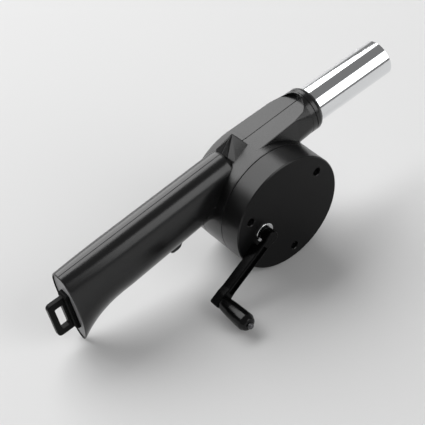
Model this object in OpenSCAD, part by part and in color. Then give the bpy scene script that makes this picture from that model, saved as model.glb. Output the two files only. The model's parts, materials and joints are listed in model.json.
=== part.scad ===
// Hand cranked barbecue blower: a geared fan in a round casing, with a handle
// behind it and a steel blowing tube in front of it.
// Every piece is drawn with the tube along +X, the fan's axis along Y and the
// crank towards -Y, and the whole is then leant back until it lies on a table
// on the round casing and on the lowest point of the handle's end.
// The origin is on the table, below the middle of the whole object.

/* [Fan casing] */
// Outer radius of the round fan casing
fan_r = 41.7; // [41.6:0.1:42.6]
// Back face of the casing, measured from the parting plane
fan_back = 14.6; // [14.4:0.1:17]
// Front of the plate between fan and gears, measured from the parting plane
fan_front = 16.4; // [16:0.1:17]
// Thickness of the moulded walls
wall = 2.2; // [1.8:0.1:2.4]
// Thickness of the plate between the fan and the gears
plate_t = 2.4; // [2.2:0.1:3]
// Radius of the rounded edge at the back
back_edge_r = 2; // [1:0.1:2.1]

/* [Gear cover] */
// Fall of the outer radius from the parting plane to the gear cover
rim_fall = 0.4; // [0.3:0.1:0.8]
// Gap line between cover and casing, measured from the parting plane
cover_seam = 19.8; // [19:0.1:20.6]
// Front face of the cover, measured from the parting plane
cover_front = 36; // [36:0.1:39]
// Bevel round the cover's face
cover_bevel = 0.7; // [0.5:0.1:1.6]
// Radius of the ring of cover screws
screw_ring_r = 32.1; // [31.8:0.1:32.6]
// Angle of the first cover screw
screw_ring_deg = 32; // [31:1:33]
// Radius of the screw wells in the face
well_r = 2.9; // [2.6:0.1:3.1]
// Depth of the screw wells
well_depth = 5.6; // [4:0.1:5.6]

/* [Duct and tube] */
// Height of the tube's axis over the fan's axis
tube_z = 32; // [31.5:0.1:32.5]
// Outer radius of the steel tube
tube_r = 12.5; // [12:0.1:12.6]
// Wall of the steel tube
tube_wall = 0.7; // [0.5:0.1:1]
// Far end of the tube, measured from the fan's axis
tube_end = 118; // [90:1:160]
// Height of the duct's flat top over the fan's axis
flat_z = 42; // [41.7:0.1:42.3]
// Slope of the flat top and of the handle's back
droop_deg = 2; // [1.5:0.1:2.5]
// Half width of the duct at the casing
duct_half = 14.2; // [13.6:0.1:14.3]
// Half width of the duct where its round end starts
duct_tip_half = 13.1; // [12.8:0.1:13.3]
// Underside of the duct over the fan's axis
duct_floor = 19.6; // [19:0.1:20.4]
// Place where the duct's flat sides end
duct_x = 33.3; // [32:0.1:34]
// Outer radius of the round neck
neck_r = 15.2; // [15:0.1:15.4]
// Place where the neck ends and the collar starts
neck_x = 49.2; // [49:0.1:50]
// Width of the collar along the tube
collar_w = 6; // [5:0.1:8]

/* [Handle] */
// Far end of the handle, measured from the fan's axis
butt_x = 145; // [138:1:155]
// Half width of the handle at the fan casing
grip_half = 13.1; // [12.8:0.1:13.4]
// Half width of the handle at its far end
butt_half = 13.9; // [13.4:0.1:14.5]
// Lowest height of the handle close to the fan casing
grip_floor = 2.8; // [1.5:0.1:4]
// Rise of the handle's underside over its length
grip_rise = 0.112; // [0.08:0.001:0.13]
// Extra depth of the flared end
butt_drop = 16.2; // [12:0.1:19]
// Length of the flared end
flare_len = 40; // [34:1:46]
// Height of the crest between handle and duct
crest_z = 52.5; // [51.5:0.1:53.5]
// Depth that the end cap is set into the handle
cap_inset = 0.8; // [0.5:0.1:1.5]
// Thickness of the end cap
cap_t = 2.4; // [2:0.1:3]

/* [Strap loop] */
// Height of the loop, along the handle's end
loop_h = 28.6; // [27:0.1:31]
// Reach of the loop beyond its base
loop_reach = 11.4; // [10.6:0.1:14]
// Thickness of the loop's outer bar
loop_bar = 3.9; // [3.6:0.1:4.2]
// Thickness of the loop across the handle
loop_t = 3.6; // [3:0.1:5]
// Height of the loop's middle over the fan's axis
loop_z = 6; // [4:0.1:8]

/* [Crank] */
// Place of the crank shaft on the handle side of the fan's axis
crank_x = 20.2; // [20:0.1:20.4]
// Height of the crank shaft over the fan's axis
crank_z = -0.7; // [-0.9:0.1:-0.5]
// Radius of the crank shaft
shaft_r = 3; // [2.6:0.1:3.1]
// Distance from shaft to knob
crank_len = 50.7; // [46:0.1:54]
// Angle of the crank arm below the handle's line
crank_deg = 28; // [24:0.5:30]
// Gap between the cover's bush and the crank's hub
hub_gap = 0.4; // [0.3:0.1:0.8]
// Thickness of the crank arm
arm_t = 6.6; // [6:0.1:7.4]
// Width of the crank arm at its hub
hub_w = 10; // [9.6:0.1:11]
// Width of the crank arm at its middle
arm_w = 7; // [6.6:0.1:7.6]
// Radius of the crank arm's round end
elbow_r = 5.6; // [5.4:0.1:6]
// Length of the knob
knob_len = 25.2; // [22:0.1:30]
// Radius of the knob where it starts
knob_root_r = 5; // [4.8:0.1:5.2]
// Largest radius of the knob
knob_r = 6; // [5.8:0.1:6.4]

/* [Gears] */
// Teeth on the crank gear
crank_teeth = 34; // [33:1:34]
// Teeth on the large idler gear
idler_teeth = 32; // [31:1:32]
// Thickness of the crank gear
crank_gear_t = 5; // [4.4:0.1:5.2]
// Thickness of the large idler gear
idler_gear_t = 4.4; // [4:0.1:4.6]
// Radius of the idler pin and the fan shaft
pin_r = 1.5; // [1.3:0.05:1.6]

/* [Fan] */
// Radius of the fan wheel
wheel_r = 33.2; // [31:0.1:33.6]
// Number of fan blades
blade_count = 12; // [8:1:14]
// Radius where the blades start
blade_in_r = 13; // [12:0.5:15]
// Thickness of the fan blades
blade_t = 1.3; // [1:0.1:1.6]
// Slots in the inner ring of the air inlet
inner_slots = 12; // [8:1:14]
// Slots in the outer ring of the air inlet
outer_slots = 22; // [16:1:24]
// Width of the inlet slots
slot_w = 2.2; // [1.6:0.1:2.4]

/* [Clearances] */
// Running clearance between a shaft and its bore
run_gap = 0.06; // [0.03:0.01:0.1]
// Clearance of a part that is pushed into its seat
push_gap = 0.03; // [0.02:0.01:0.05]
// Clearance between moving faces
side_gap = 0.4; // [0.3:0.1:0.5]
// Play between gear teeth at the pitch circle
tooth_play = 0.12; // [0.1:0.01:0.16]

/* [Hidden] */
$fn = 64;
facet_n = 32;
plastic = [0.07, 0.07, 0.075];
grey_plastic = [0.3, 0.3, 0.31];
steel = [0.78, 0.79, 0.8];
nylon = [0.86, 0.85, 0.8];
far = 400;
lap = 0.5;

// Bushes on the crank shaft and the fan shaft
ferrule_t = 0.8;
ferrule_r = 6.7;
bush_r = 4.6;
bush_len = 5.6;
bush_out_r = 3;
bush_lip_r = 3.9;
bush_lip_t = 0.8;

// Layers along the fan's axis; the front is the negative side
plate_face = -fan_front;
chamber_front = plate_face + plate_t;
chamber_back = fan_back - wall;
idler_gear_y = plate_face - bush_lip_t - side_gap;
crank_gear_y = idler_gear_y - idler_gear_t - 2 * side_gap;
crank_gear_front = crank_gear_y - crank_gear_t;
idler_front = crank_gear_front - side_gap;
cover_inside = wall - cover_front;
bush_end = bush_len - cover_front;
hub_y = -cover_front - ferrule_t - hub_gap;
arm_front = hub_y - arm_t;
knob_y = arm_front - side_gap;
knob_end = knob_y - knob_len;

// Fan casing
chamber_r = fan_r - wall;
cover_r = fan_r - rim_fall;
cover_wall = 2;
seam_bevel = 0.4;
spigot_r = cover_r - cover_wall - side_gap / 2;
spigot_w = 2;
spigot_len = 2;
scroll_r = wheel_r + 2.1;
scroll_t = 1.4;
tongue_deg = 32;
scroll_turn = 300;
scroll_steps = 40;
post_rise = 1.8;
end_wall_x = -fan_r - wall - 0.6;

// Duct
droop = tan(droop_deg);
duct_start = 0;
duct_round = 2.5;
duct_trim = 0.5;
duct_ridge = 1.7;
arch_tip = neck_x - 0.8;
tube_start = neck_x + 0.5;
tube_step = neck_x + collar_w + 0.4;
seat_r = tube_r - 0.2;
lip_t = 0.8;
lip_r = tube_r + 0.7;
nose_r = tube_r + 1.5;
nose_len = 3;
passage_r = tube_r - tube_wall - 0.4;
collar_gap = 0.1;

// Handle: sections are ovals between the sloping back and the underside
rim_r = 0.9;
heel = 0.35;
flare_power = 2.6;
half_steps = 16;
grip_rows = [[-butt_x, rim_r], [-butt_x + 0.3 * rim_r, 0.35 * rim_r], [-butt_x + rim_r, 0],
    for (i = [1 : 7]) [-butt_x + 5.4 * i, 0],
    for (x = [-92, -74, -56, -36, -18]) [x, 0]];
hollow_rows = [for (i = [0 : 6]) [-butt_x - 1 + 6.6 * i, 0], [-92, 0], [-66, 0], [end_wall_x, 0]];
function back_z(x) = flat_z + droop * x;
function flare(x) = max(0, (-x - butt_x + flare_len) / flare_len);
function floor_z(x) = grip_floor + grip_rise * (x + 40) - butt_drop * pow(flare(x), flare_power);
function half_w(x) = grip_half + (butt_half - grip_half) * min(1, max(0, -x / butt_x));
function mid_z(x) = (back_z(x) + floor_z(x)) / 2;
function half_h(x) = (back_z(x) - floor_z(x)) / 2;

// Crest between handle and duct
crest_back = 11.8;
crest_front = 6.9;
crest_sweep = 10;
crest_root = 3;
crest_foot = [[1.2, 6.6], [-7, 8.6], [-15, 10], [-23, 10.8]];

// End cap and strap loop
cap_x = -butt_x + cap_inset;
cap_gap = 0.12;
base_w = 8.4;
base_h = 33;
base_t = 3.4;
tongue_w = 4;
tongue_h = 18;
tongue_in = cap_t + 2.6;
loop_corner = 3;
loop_out_x = cap_x - base_t - loop_reach;
slot_in_x = cap_x - base_t - 2;
slot_h = 17;

// Hook under the handle
hook_x = -66;
hook_half = 2.4;
hook_z = floor_z(hook_x);

// Crank
gear_hub_r = 4.4;
channel_depth = 1.6;
channel_rim = 1.3;
shaft_cover = 1.6;
knob_x = -crank_x - crank_len * cos(crank_deg);
knob_z = crank_z - crank_len * sin(crank_deg);
rivet_r = 1.9;
rivet_head_r = 2.7;
rivet_head_t = 2.2;

// Gears
tooth_m = 0.8;
pinion_teeth = 10;
pressure_deg = 25;
wheel_top = 0.94;
pinion_top = 1;
tooth_root = 1.2;
flank_steps = 4;
crank_pitch = crank_teeth * tooth_m / 2;
pinion_pitch = pinion_teeth * tooth_m / 2;
idler_pitch = idler_teeth * tooth_m / 2;
first_dist = crank_pitch + pinion_pitch;
second_dist = idler_pitch + pinion_pitch;
crank_dist = norm([crank_x, crank_z]);
along = (pow(second_dist, 2) + pow(crank_dist, 2) - pow(first_dist, 2)) / (2 * crank_dist);
across = sqrt(pow(second_dist, 2) - pow(along, 2));
idler_x = (-crank_x * along - crank_z * across) / crank_dist;
idler_z = (crank_z * along - crank_x * across) / crank_dist;
first_mesh = atan2(idler_z - crank_z, idler_x + crank_x);
second_mesh = atan2(-idler_z, -idler_x);

// Fan
wheel_front = chamber_front + 3.4;
wheel_back = chamber_back - 2.6;
disc_t = 1.4;
ring_t = 1.2;
ring_in_r = 21;
wheel_hub_r = 4.6;
sweep_deg = 40;
blade_steps = 6;
blade_inset = 0.4;
rear_boss_y = chamber_back - 5;
clip_r = 3.4;
clip_t = 0.6;
clip_y = rear_boss_y - bush_lip_t - side_gap - clip_t;
slot_in_r = 7.4;
slot_mid_r = 14;
slot_out_r = 21.5;

// Screws
screw_r = 1.1;
screw_head_r = 2.1;
screw_head_t = 1.3;
cross_w = 0.6;
well_floor = 1.8;
well_seat = well_depth - cover_front;
boss_top = well_seat + well_floor;
cover_boss_r = 2.4;
cover_screw_len = 10.5;
casing_boss_r = 3.5;
casing_screw_len = 14;
head_hole_r = 2.4;
grip_head_y = 7;
tongue_head_y = chamber_back - 1.4;
tongue_boss_r = 3.2;
tongue_screw_r = fan_r - tongue_boss_r - 1.3;
tongue_screw_deg = 13;
tongue_screw = tongue_screw_r * [cos(tongue_screw_deg), sin(tongue_screw_deg)];
far_screw_x = -124;
middle_screw_x = -84;
near_screw_x = -52;
casing_screws_at = [for (x = [far_screw_x, middle_screw_x, near_screw_x]) [x, mid_z(x), grip_head_y],
    [tongue_screw[0], tongue_screw[1], tongue_head_y]];
cover_screws_at = [for (i = [0 : 2]) let (a = screw_ring_deg + 120 * i)
    [screw_ring_r * cos(a), screw_ring_r * sin(a)]];

// Lean that brings the casing and the handle's end down to the table
low_x = butt_x - 0.3 * rim_r;
low_z = floor_z(-low_x) + 0.35 * rim_r;
lean_deg = asin(fan_r / norm([low_x, low_z])) - atan2(-low_z, low_x);
far_x = tube_end * cos(lean_deg) - (tube_z - tube_r) * sin(lean_deg);
loop_top_z = loop_z + loop_h / 2 - loop_corner;
near_x = (loop_out_x + loop_corner) * cos(lean_deg) - loop_top_z * sin(lean_deg) - loop_corner;
middle_x = (far_x + near_x) / 2;
middle_y = (fan_back + knob_end - rivet_head_t) / 2;

echo(lean_deg = lean_deg, middle_x = middle_x, middle_y = middle_y);
echo(knob = [knob_x, knob_z], idler = [idler_x, idler_z]);

// Puts a piece that is drawn along the tube onto the table
module placed() {
    translate([-middle_x, -middle_y, fan_r]) rotate([0, -lean_deg, 0]) children();
}

// A flat shape in the XZ plane, given thickness from y0 to y1
module slab(y0, y1) {
    translate([0, y1, 0]) rotate([90, 0, 0]) linear_extrude(y1 - y0) children();
}

// A round bar along Y through the point x, z
module rod(x, z, r, y0, y1) {
    translate([x, y1, z]) rotate([90, 0, 0]) cylinder(r = r, h = y1 - y0);
}

// A round bar along X on the tube's axis
module rod_x(x0, x1, r) {
    translate([x0, 0, tube_z]) rotate([0, 90, 0]) cylinder(r = r, h = x1 - x0);
}

// A solid turned round the fan's axis; the profile gives radius and depth in front
module turned() {
    rotate([90, 0, 0]) rotate_extrude() children();
}

function arc(x, y, r, from, to, n) =
    [for (i = [0 : n]) let (a = from + (to - from) * i / n) [x + r * cos(a), y + r * sin(a)]];

// Oval loft along the handle; inset moves its skin inwards
module loft(rows, inset) {
    n = 2 * half_steps;
    last = len(rows) - 1;
    pts = [for (row = rows, i = [0 : n - 1])
        let (x = row[0], d = inset + row[1], a = 90 - 360 * i / n,
            slim = 1 - heel * flare(x) * pow((1 - sin(a)) / 2, 2))
        [x, (half_w(x) - d) * cos(a) * slim, mid_z(x) + (half_h(x) - d) * sin(a)]];
    skin = [for (r = [0 : last - 1], i = [0 : n - 1], k = [0, 1])
        let (p = r * n + i, q = r * n + (i + 1) % n)
        k == 0 ? [p + n, p, q] : [p + n, q, q + n]];
    near_end = [for (i = [n - 1 : -1 : 0]) i];
    far_end = [for (i = [0 : n - 1]) last * n + i];
    polyhedron(pts, concat(skin, [near_end], [far_end]));
}

// Half space in front of (-1) or behind (1) the parting plane
module one_side(side) {
    translate([-far / 2, side > 0 ? 0 : -far, -far / 2]) cube(far);
}

// Room above the duct's flat top, which ends in an arch
module above_flat() {
    translate([0, 0, flat_z]) rotate([0, -droop_deg, 0]) linear_extrude(2 * neck_r)
        polygon(concat([[duct_start - 20, 20], [duct_x - 4, 20], [duct_x - 4, duct_tip_half]],
            [for (i = [0 : 16]) let (a = 90 - 180 * i / 16)
                [duct_x + (arch_tip - duct_x) * cos(a), duct_tip_half * sin(a)]],
            [[duct_x - 4, -duct_tip_half], [duct_x - 4, -20], [duct_start - 20, -20]]));
}

// Thin section of the duct across X, with rounded edges
module duct_section(x, half, top, bottom, r_top, r_bottom) {
    translate([x, 0, 0]) rotate([90, 0, 90]) linear_extrude(0.1) for (s = [-1, 1]) {
        translate([s * (half - r_top), top - r_top]) circle(r_top, $fn = facet_n);
        translate([s * (half - r_bottom), bottom + r_bottom]) circle(r_bottom, $fn = facet_n);
    }
}

module duct_outer() {
    difference() {
        union() {
            hull() {
                duct_section(duct_start, duct_half, back_z(duct_start) + duct_trim, duct_floor,
                    duct_ridge, duct_round);
                duct_section(duct_x, duct_tip_half, back_z(duct_x) + duct_trim, duct_floor,
                    duct_ridge, duct_round);
                translate([neck_x - 3, 0, tube_z]) rotate([0, 90, 0])
                    cylinder(r = neck_r - 0.1, h = 0.1, $fn = 2 * facet_n);
            }
            rod_x(neck_x - 3.4, neck_x, neck_r);
        }
        above_flat();
    }
    rod_x(neck_x - 1, neck_x + nose_len, nose_r);
}

module duct_inner() {
    difference() {
        hull() {
            duct_section(8, duct_half - wall, back_z(8) - wall + 1, duct_floor + wall, 0.8, 1.5);
            duct_section(duct_x, duct_tip_half - wall, back_z(duct_x), duct_floor + wall, 0.8, 1.5);
            translate([tube_start - 0.4, 0, tube_z]) rotate([0, 90, 0])
                cylinder(r = passage_r, h = lap, $fn = facet_n);
        }
        translate([0, 0, flat_z - wall]) rotate([0, -droop_deg, 0])
            translate([-far / 2, -far / 2, 0]) cube(far);
    }
    rod_x(tube_start, neck_x + nose_len + 1, seat_r + push_gap);
    rod_x(tube_start, tube_start + lip_t + push_gap, lip_r + push_gap);
}

// Crest where the handle's back sweeps up before the duct's flat top
module crest() {
    difference() {
        hull() {
            for (x = [-crest_back, -crest_front]) translate([x, 0, crest_z - 1])
                cylinder(r1 = 1.3, r2 = 0.6, h = 1, $fn = 16);
            for (at = crest_foot)
                translate([at[0] - 0.1, -at[1], sqrt(pow(fan_r, 2) - pow(at[0], 2)) - crest_root])
                    cube([0.2, 2 * at[1], 0.2]);
        }
        rod(-crest_back - crest_sweep, back_z(-crest_back - crest_sweep) + crest_sweep,
            crest_sweep, -fan_back, fan_back);
    }
}

// Small hook moulded under the handle
module hook() {
    slab(-hook_half, hook_half) polygon([[hook_x + 7.4, hook_z + 1.6],
        [hook_x + 5.6, hook_z - 1.8], [hook_x + 3.4, hook_z - 5.2], [hook_x + 1, hook_z - 6.2],
        [hook_x - 2.8, hook_z - 6.2], [hook_x - 4.6, hook_z - 5], [hook_x - 4, hook_z - 3.8],
        [hook_x - 1.8, hook_z - 3], [hook_x - 1.2, hook_z + 1.6]]);
}

module drum_profile() {
    polygon(concat([[0, -fan_back]],
        arc(fan_r - back_edge_r, -fan_back + back_edge_r, back_edge_r, -90, 0, 6),
        [[fan_r, 0], [cover_r, cover_seam - seam_bevel], [cover_r - seam_bevel, cover_seam],
            [0, cover_seam]]));
}

// Spiral wall that gathers the air round the fan wheel
module scroll_shape() {
    start = scroll_r * [cos(tongue_deg), sin(tongue_deg)];
    start_out = (scroll_r + scroll_t) * [cos(tongue_deg), sin(tongue_deg)];
    intersection() {
        union() {
            polygon(concat(
                [for (i = [0 : scroll_steps]) let (t = i / scroll_steps)
                    (scroll_r + (chamber_r + lap - scroll_r) * t)
                    * [cos(tongue_deg - scroll_turn * t), sin(tongue_deg - scroll_turn * t)]],
                [for (i = [scroll_steps : -1 : 0]) let (t = i / scroll_steps)
                    (scroll_r + scroll_t + (chamber_r + lap - scroll_r) * t)
                    * [cos(tongue_deg - scroll_turn * t), sin(tongue_deg - scroll_turn * t)]]));
            polygon([start, [chamber_r - 4, duct_floor + wall], [chamber_r - 3, duct_floor + lap],
                start_out]);
        }
        circle(chamber_r + lap);
    }
}

// Outside of both halves together
module body_outer() {
    turned() drum_profile();
    duct_outer();
    loft(grip_rows, 0);
    crest();
    hook();
}

// Hollows for the fan, the air, the inside of the handle and the end cap
module body_inner() {
    rod(0, 0, chamber_r, chamber_front, chamber_back);
    rod(0, 0, spigot_r - spigot_w, -cover_front, plate_face);
    duct_inner();
    loft(hollow_rows, wall);
    loft([[-butt_x - 1, 0], [cap_x + cap_t, 0]], wall / 2);
}

module half_shell(side) {
    difference() {
        intersection() {
            body_outer();
            one_side(side);
        }
        body_inner();
    }
}

module casing_front() {
    placed() color(plastic) difference() {
        union() {
            half_shell(-1);
            slab(chamber_front - lap, 0) scroll_shape();
            turned() translate([spigot_r - spigot_w, cover_seam - lap])
                square([spigot_w, spigot_len + lap]);
            for (at = cover_screws_at) rod(at[0], at[1], cover_boss_r, boss_top, plate_face + lap);
            // Bearing bosses of the crank shaft, the idler pin and the fan shaft
            rod(-crank_x, crank_z, shaft_r + 1.6, plate_face - bush_lip_t, chamber_front + post_rise);
            rod(idler_x, idler_z, pin_r + 1.5, plate_face - bush_lip_t, chamber_front + post_rise);
            rod(0, 0, bush_out_r + 1.8, chamber_front - lap, chamber_front + post_rise);
            for (at = casing_screws_at)
                rod(at[0], at[1], at[0] > 0 ? tongue_boss_r : casing_boss_r, 1 - grip_half, 0);
        }
        rod(-crank_x, crank_z, shaft_r + run_gap, plate_face - 2, chamber_front + 1);
        rod(idler_x, idler_z, pin_r + push_gap, plate_face - 2, chamber_front + 1);
        rod(0, 0, bush_out_r + push_gap, plate_face - 2, chamber_front + post_rise + 1);
        for (at = cover_screws_at) rod(at[0], at[1], screw_r + run_gap, boss_top - 1, plate_face - 1);
        for (at = casing_screws_at)
            rod(at[0], at[1], screw_r + run_gap, at[2] - casing_screw_len - 0.5, 1);
    }
}

module inlet_ring(count, r_in, r_out) {
    for (i = [0 : count - 1]) rotate([0, 360 * i / count, 0])
        translate([r_in, chamber_back - 1, -slot_w / 2])
            cube([r_out - r_in, wall + 2, slot_w]);
}

module casing_back() {
    placed() color(plastic) difference() {
        union() {
            half_shell(1);
            slab(0, chamber_back + lap) scroll_shape();
            rod(0, 0, bush_out_r + 1.8, rear_boss_y, chamber_back + lap);
            for (at = casing_screws_at)
                rod(at[0], at[1], at[0] > 0 ? tongue_boss_r : casing_boss_r, 0,
                    at[0] > 0 ? chamber_back + lap : grip_half - 1);
        }
        rod(0, 0, bush_out_r + push_gap, rear_boss_y - 1, chamber_back);
        inlet_ring(inner_slots, slot_in_r, slot_mid_r - 1);
        inlet_ring(outer_slots, slot_mid_r + 1, slot_out_r);
        for (at = casing_screws_at) {
            rod(at[0], at[1], screw_r + run_gap, -1, at[2] + 1);
            rod(at[0], at[1], head_hole_r, at[2], fan_back + 1);
        }
    }
}

module gear_cover() {
    placed() color(plastic) difference() {
        union() {
            difference() {
                turned() polygon([[0, cover_seam], [cover_r - seam_bevel, cover_seam],
                    [cover_r, cover_seam + seam_bevel], [cover_r, cover_front - cover_bevel],
                    [cover_r - cover_bevel, cover_front], [0, cover_front]]);
                rod(0, 0, cover_r - cover_wall, cover_inside, 0);
            }
            for (at = cover_screws_at)
                rod(at[0], at[1], well_r + 1.3, cover_inside - lap, boss_top);
            rod(-crank_x, crank_z, bush_r + 1.8, cover_inside - lap, bush_end);
            rod(idler_x, idler_z, pin_r + 1.7, cover_inside - lap, idler_front - side_gap);
        }
        for (at = cover_screws_at) {
            rod(at[0], at[1], well_r, -cover_front - 1, well_seat);
            rod(at[0], at[1], screw_r + run_gap, well_seat - 1, boss_top + 1);
        }
        rod(-crank_x, crank_z, bush_r + push_gap, -cover_front - 1, bush_end + 1);
        rod(idler_x, idler_z, pin_r + push_gap, cover_inside, idler_front + 1);
    }
}

module end_cap() {
    placed() color(grey_plastic) difference() {
        loft([[cap_x, 0], [cap_x + cap_t, 0]], wall / 2 + cap_gap);
        translate([cap_x - 1, -tongue_w / 2 - push_gap, loop_z - tongue_h / 2 - push_gap])
            cube([cap_t + 2, tongue_w + 2 * push_gap, tongue_h + 2 * push_gap]);
    }
}

module strap_loop() {
    placed() color(plastic) {
        translate([cap_x - base_t, 0, loop_z]) {
            difference() {
                translate([0, -base_w / 2, -base_h / 2]) cube([base_t, base_w, base_h]);
                for (s = [-1, 1]) translate([0, -base_w, s * (base_h / 2 - 1.6)])
                    rotate([0, s > 0 ? -45 : 45, 0])
                        translate([-6, 0, s > 0 ? 0 : -6]) cube([12, 2 * base_w, 6]);
            }
            translate([lap, -tongue_w / 2, -tongue_h / 2])
                cube([base_t - lap + tongue_in, tongue_w, tongue_h]);
        }
        slab(-loop_t / 2, loop_t / 2) difference() {
            union() {
                translate([loop_out_x + loop_corner, loop_z - loop_h / 2])
                    square([loop_reach - loop_corner + lap, loop_h]);
                translate([loop_out_x, loop_z - loop_h / 2 + loop_corner])
                    square([loop_reach, loop_h - 2 * loop_corner]);
                for (s = [-1, 1]) translate([loop_out_x + loop_corner,
                    loop_z + s * (loop_h / 2 - loop_corner)]) circle(loop_corner);
            }
            translate([loop_out_x + loop_bar, loop_z - slot_h / 2])
                square([slot_in_x - loop_out_x - loop_bar, slot_h]);
        }
    }
}

module outlet_collar() {
    placed() color(plastic) difference() {
        translate([neck_x, 0, tube_z]) rotate([0, 90, 0]) rotate_extrude()
            polygon([[0, collar_gap], [neck_r - 0.6, collar_gap], [neck_r, collar_gap + 0.6],
                [neck_r, collar_w - 3], [neck_r - 0.35, collar_w - 1.8],
                [neck_r - 1.1, collar_w - 0.6], [neck_r - 1.9, collar_w], [0, collar_w]]);
        rod_x(neck_x - 1, neck_x + nose_len + collar_gap, nose_r + collar_gap);
        rod_x(neck_x, neck_x + collar_w + 1, tube_r + push_gap);
    }
}

// Steel tube; its end is rolled a little thinner where it sits in casing and collar
module outlet_tube() {
    placed() color(steel) difference() {
        union() {
            rod_x(tube_step, tube_end, tube_r);
            rod_x(tube_start, tube_step, seat_r);
            rod_x(tube_start, tube_start + lip_t, lip_r);
        }
        rod_x(tube_start - 1, tube_end + 1, tube_r - tube_wall);
    }
}

module crank_bush() {
    placed() color(steel) difference() {
        union() {
            rod(-crank_x, crank_z, bush_r, -cover_front - lap, bush_end);
            rod(-crank_x, crank_z, ferrule_r, -cover_front - ferrule_t, -cover_front);
        }
        rod(-crank_x, crank_z, shaft_r + run_gap, -cover_front - 2, bush_end + 1);
    }
}

module crank_shaft() {
    placed() color(steel)
        rod(-crank_x, crank_z, shaft_r, arm_front + shaft_cover, chamber_front + 0.7);
}

module crank_arm() {
    placed() color(plastic) translate([-crank_x, 0, crank_z]) rotate([0, 180 - crank_deg, 0])
        difference() {
            slab(arm_front, hub_y) union() {
                polygon([[-5.4, -3.4], [-3.8, -hub_w / 2], [5, -hub_w / 2], [10, -arm_w / 2],
                    [crank_len, -arm_w / 2], [crank_len, arm_w / 2], [10, arm_w / 2],
                    [5, hub_w / 2], [-3.8, hub_w / 2], [-5.4, 3.4]]);
                translate([crank_len, 0]) circle(elbow_r);
            }
            slab(arm_front - 1, arm_front + channel_depth)
                translate([7, channel_rim - arm_w / 2])
                    square([crank_len - 13.6, arm_w - 2 * channel_rim]);
            rod(0, 0, shaft_r + push_gap, arm_front + shaft_cover, hub_y + 1);
            rod(crank_len, 0, rivet_r + push_gap, arm_front - 1, hub_y + 1);
        }
}

module knob_pin() {
    placed() color(steel) {
        rod(knob_x, knob_z, rivet_r, knob_end - lap, hub_y - 0.6);
        translate([knob_x, knob_end, knob_z]) rotate([90, 0, 0])
            cylinder(r1 = rivet_head_r, r2 = rivet_head_r - 1.1, h = rivet_head_t);
    }
}

module crank_knob() {
    placed() color(plastic) translate([knob_x, knob_y, knob_z]) rotate([90, 0, 0])
        rotate_extrude() polygon([[rivet_r + run_gap, 0], [knob_root_r - 0.5, 0],
            [knob_root_r, 0.5], [knob_root_r, 2.4], [knob_root_r + 0.5, 8],
            [knob_r - 0.1, knob_len - 9], [knob_r, knob_len - 5], [knob_r - 0.3, knob_len - 2.6],
            [knob_r - 1.1, knob_len - 1], [knob_r - 2.4, knob_len - side_gap],
            [rivet_r + run_gap, knob_len - side_gap]]);
}

function involute(a) = tan(a) * 180 / PI - a;

// Outline of a spur gear with a tooth on the first axis
module gear_shape(teeth, top) {
    pitch = teeth * tooth_m / 2;
    base = pitch * cos(pressure_deg);
    tip = pitch + top * tooth_m;
    root = pitch - tooth_root * tooth_m;
    low = max(base, root);
    middle = 90 / teeth - tooth_play / 4 / pitch * 180 / PI + involute(pressure_deg);
    flank = [for (i = [0 : flank_steps]) let (r = low + (tip - low) * i / flank_steps)
        [r, middle - involute(acos(min(1, base / r)))]];
    side = root < low ? concat([[root, flank[0][1]]], flank) : flank;
    polygon([for (i = [0 : teeth - 1], s = [-1, 1], k = [0 : len(side) - 1])
        let (p = side[s < 0 ? k : len(side) - 1 - k], a = 360 * i / teeth + s * p[1])
        p[0] * [cos(a), sin(a)]]);
}

module gear(x, z, teeth, top, turn, y0, y1) {
    translate([x, 0, z]) slab(y0, y1) rotate(turn) gear_shape(teeth, top);
}

module crank_gear() {
    placed() color(nylon) difference() {
        union() {
            gear(-crank_x, crank_z, crank_teeth, wheel_top, first_mesh, crank_gear_front,
                crank_gear_y);
            rod(-crank_x, crank_z, gear_hub_r, bush_end + side_gap, crank_gear_y - 1);
        }
        rod(-crank_x, crank_z, shaft_r + push_gap, -cover_front, 0);
    }
}

module idler_gear() {
    placed() color(nylon) difference() {
        union() {
            gear(idler_x, idler_z, idler_teeth, wheel_top, second_mesh,
                idler_gear_y - idler_gear_t, idler_gear_y);
            gear(idler_x, idler_z, pinion_teeth, pinion_top, first_mesh + 180 + 180 / pinion_teeth,
                idler_front, idler_gear_y - 1);
        }
        rod(idler_x, idler_z, pin_r + run_gap, -cover_front, 0);
    }
}

module idler_pin() {
    placed() color(steel)
        rod(idler_x, idler_z, pin_r, cover_inside + 0.3, chamber_front + 0.7);
}

module fan_pinion() {
    placed() color(nylon) difference() {
        gear(0, 0, pinion_teeth, pinion_top, second_mesh + 180 + 180 / pinion_teeth,
            idler_gear_y - idler_gear_t, idler_gear_y);
        rod(0, 0, pin_r + push_gap, -cover_front, 0);
    }
}

module fan_shaft() {
    placed() color(steel) rod(0, 0, pin_r, idler_gear_y - idler_gear_t - 0.2, chamber_back - 0.3);
}

module fan_wheel() {
    reach = wheel_r - blade_inset - blade_in_r;
    placed() color(grey_plastic) difference() {
        union() {
            rod(0, 0, wheel_r, wheel_front, wheel_front + disc_t);
            rod(0, 0, wheel_hub_r, wheel_front, clip_y);
            difference() {
                rod(0, 0, wheel_r, wheel_back - ring_t, wheel_back);
                rod(0, 0, ring_in_r, wheel_back - ring_t - 1, wheel_back + 1);
            }
            slab(wheel_front + disc_t - lap, wheel_back - lap)
                for (i = [0 : blade_count - 1]) rotate(360 * i / blade_count)
                    polygon([for (s = [-1, 1], k = [0 : blade_steps])
                        let (t = (s < 0 ? k : blade_steps - k) / blade_steps,
                            r = blade_in_r + reach * t,
                            a = sweep_deg * t + s * blade_t / 2 / r * 180 / PI)
                        r * [cos(a), sin(a)]]);
        }
        rod(0, 0, pin_r + push_gap, wheel_front - 1, wheel_back + 1);
    }
}

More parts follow.
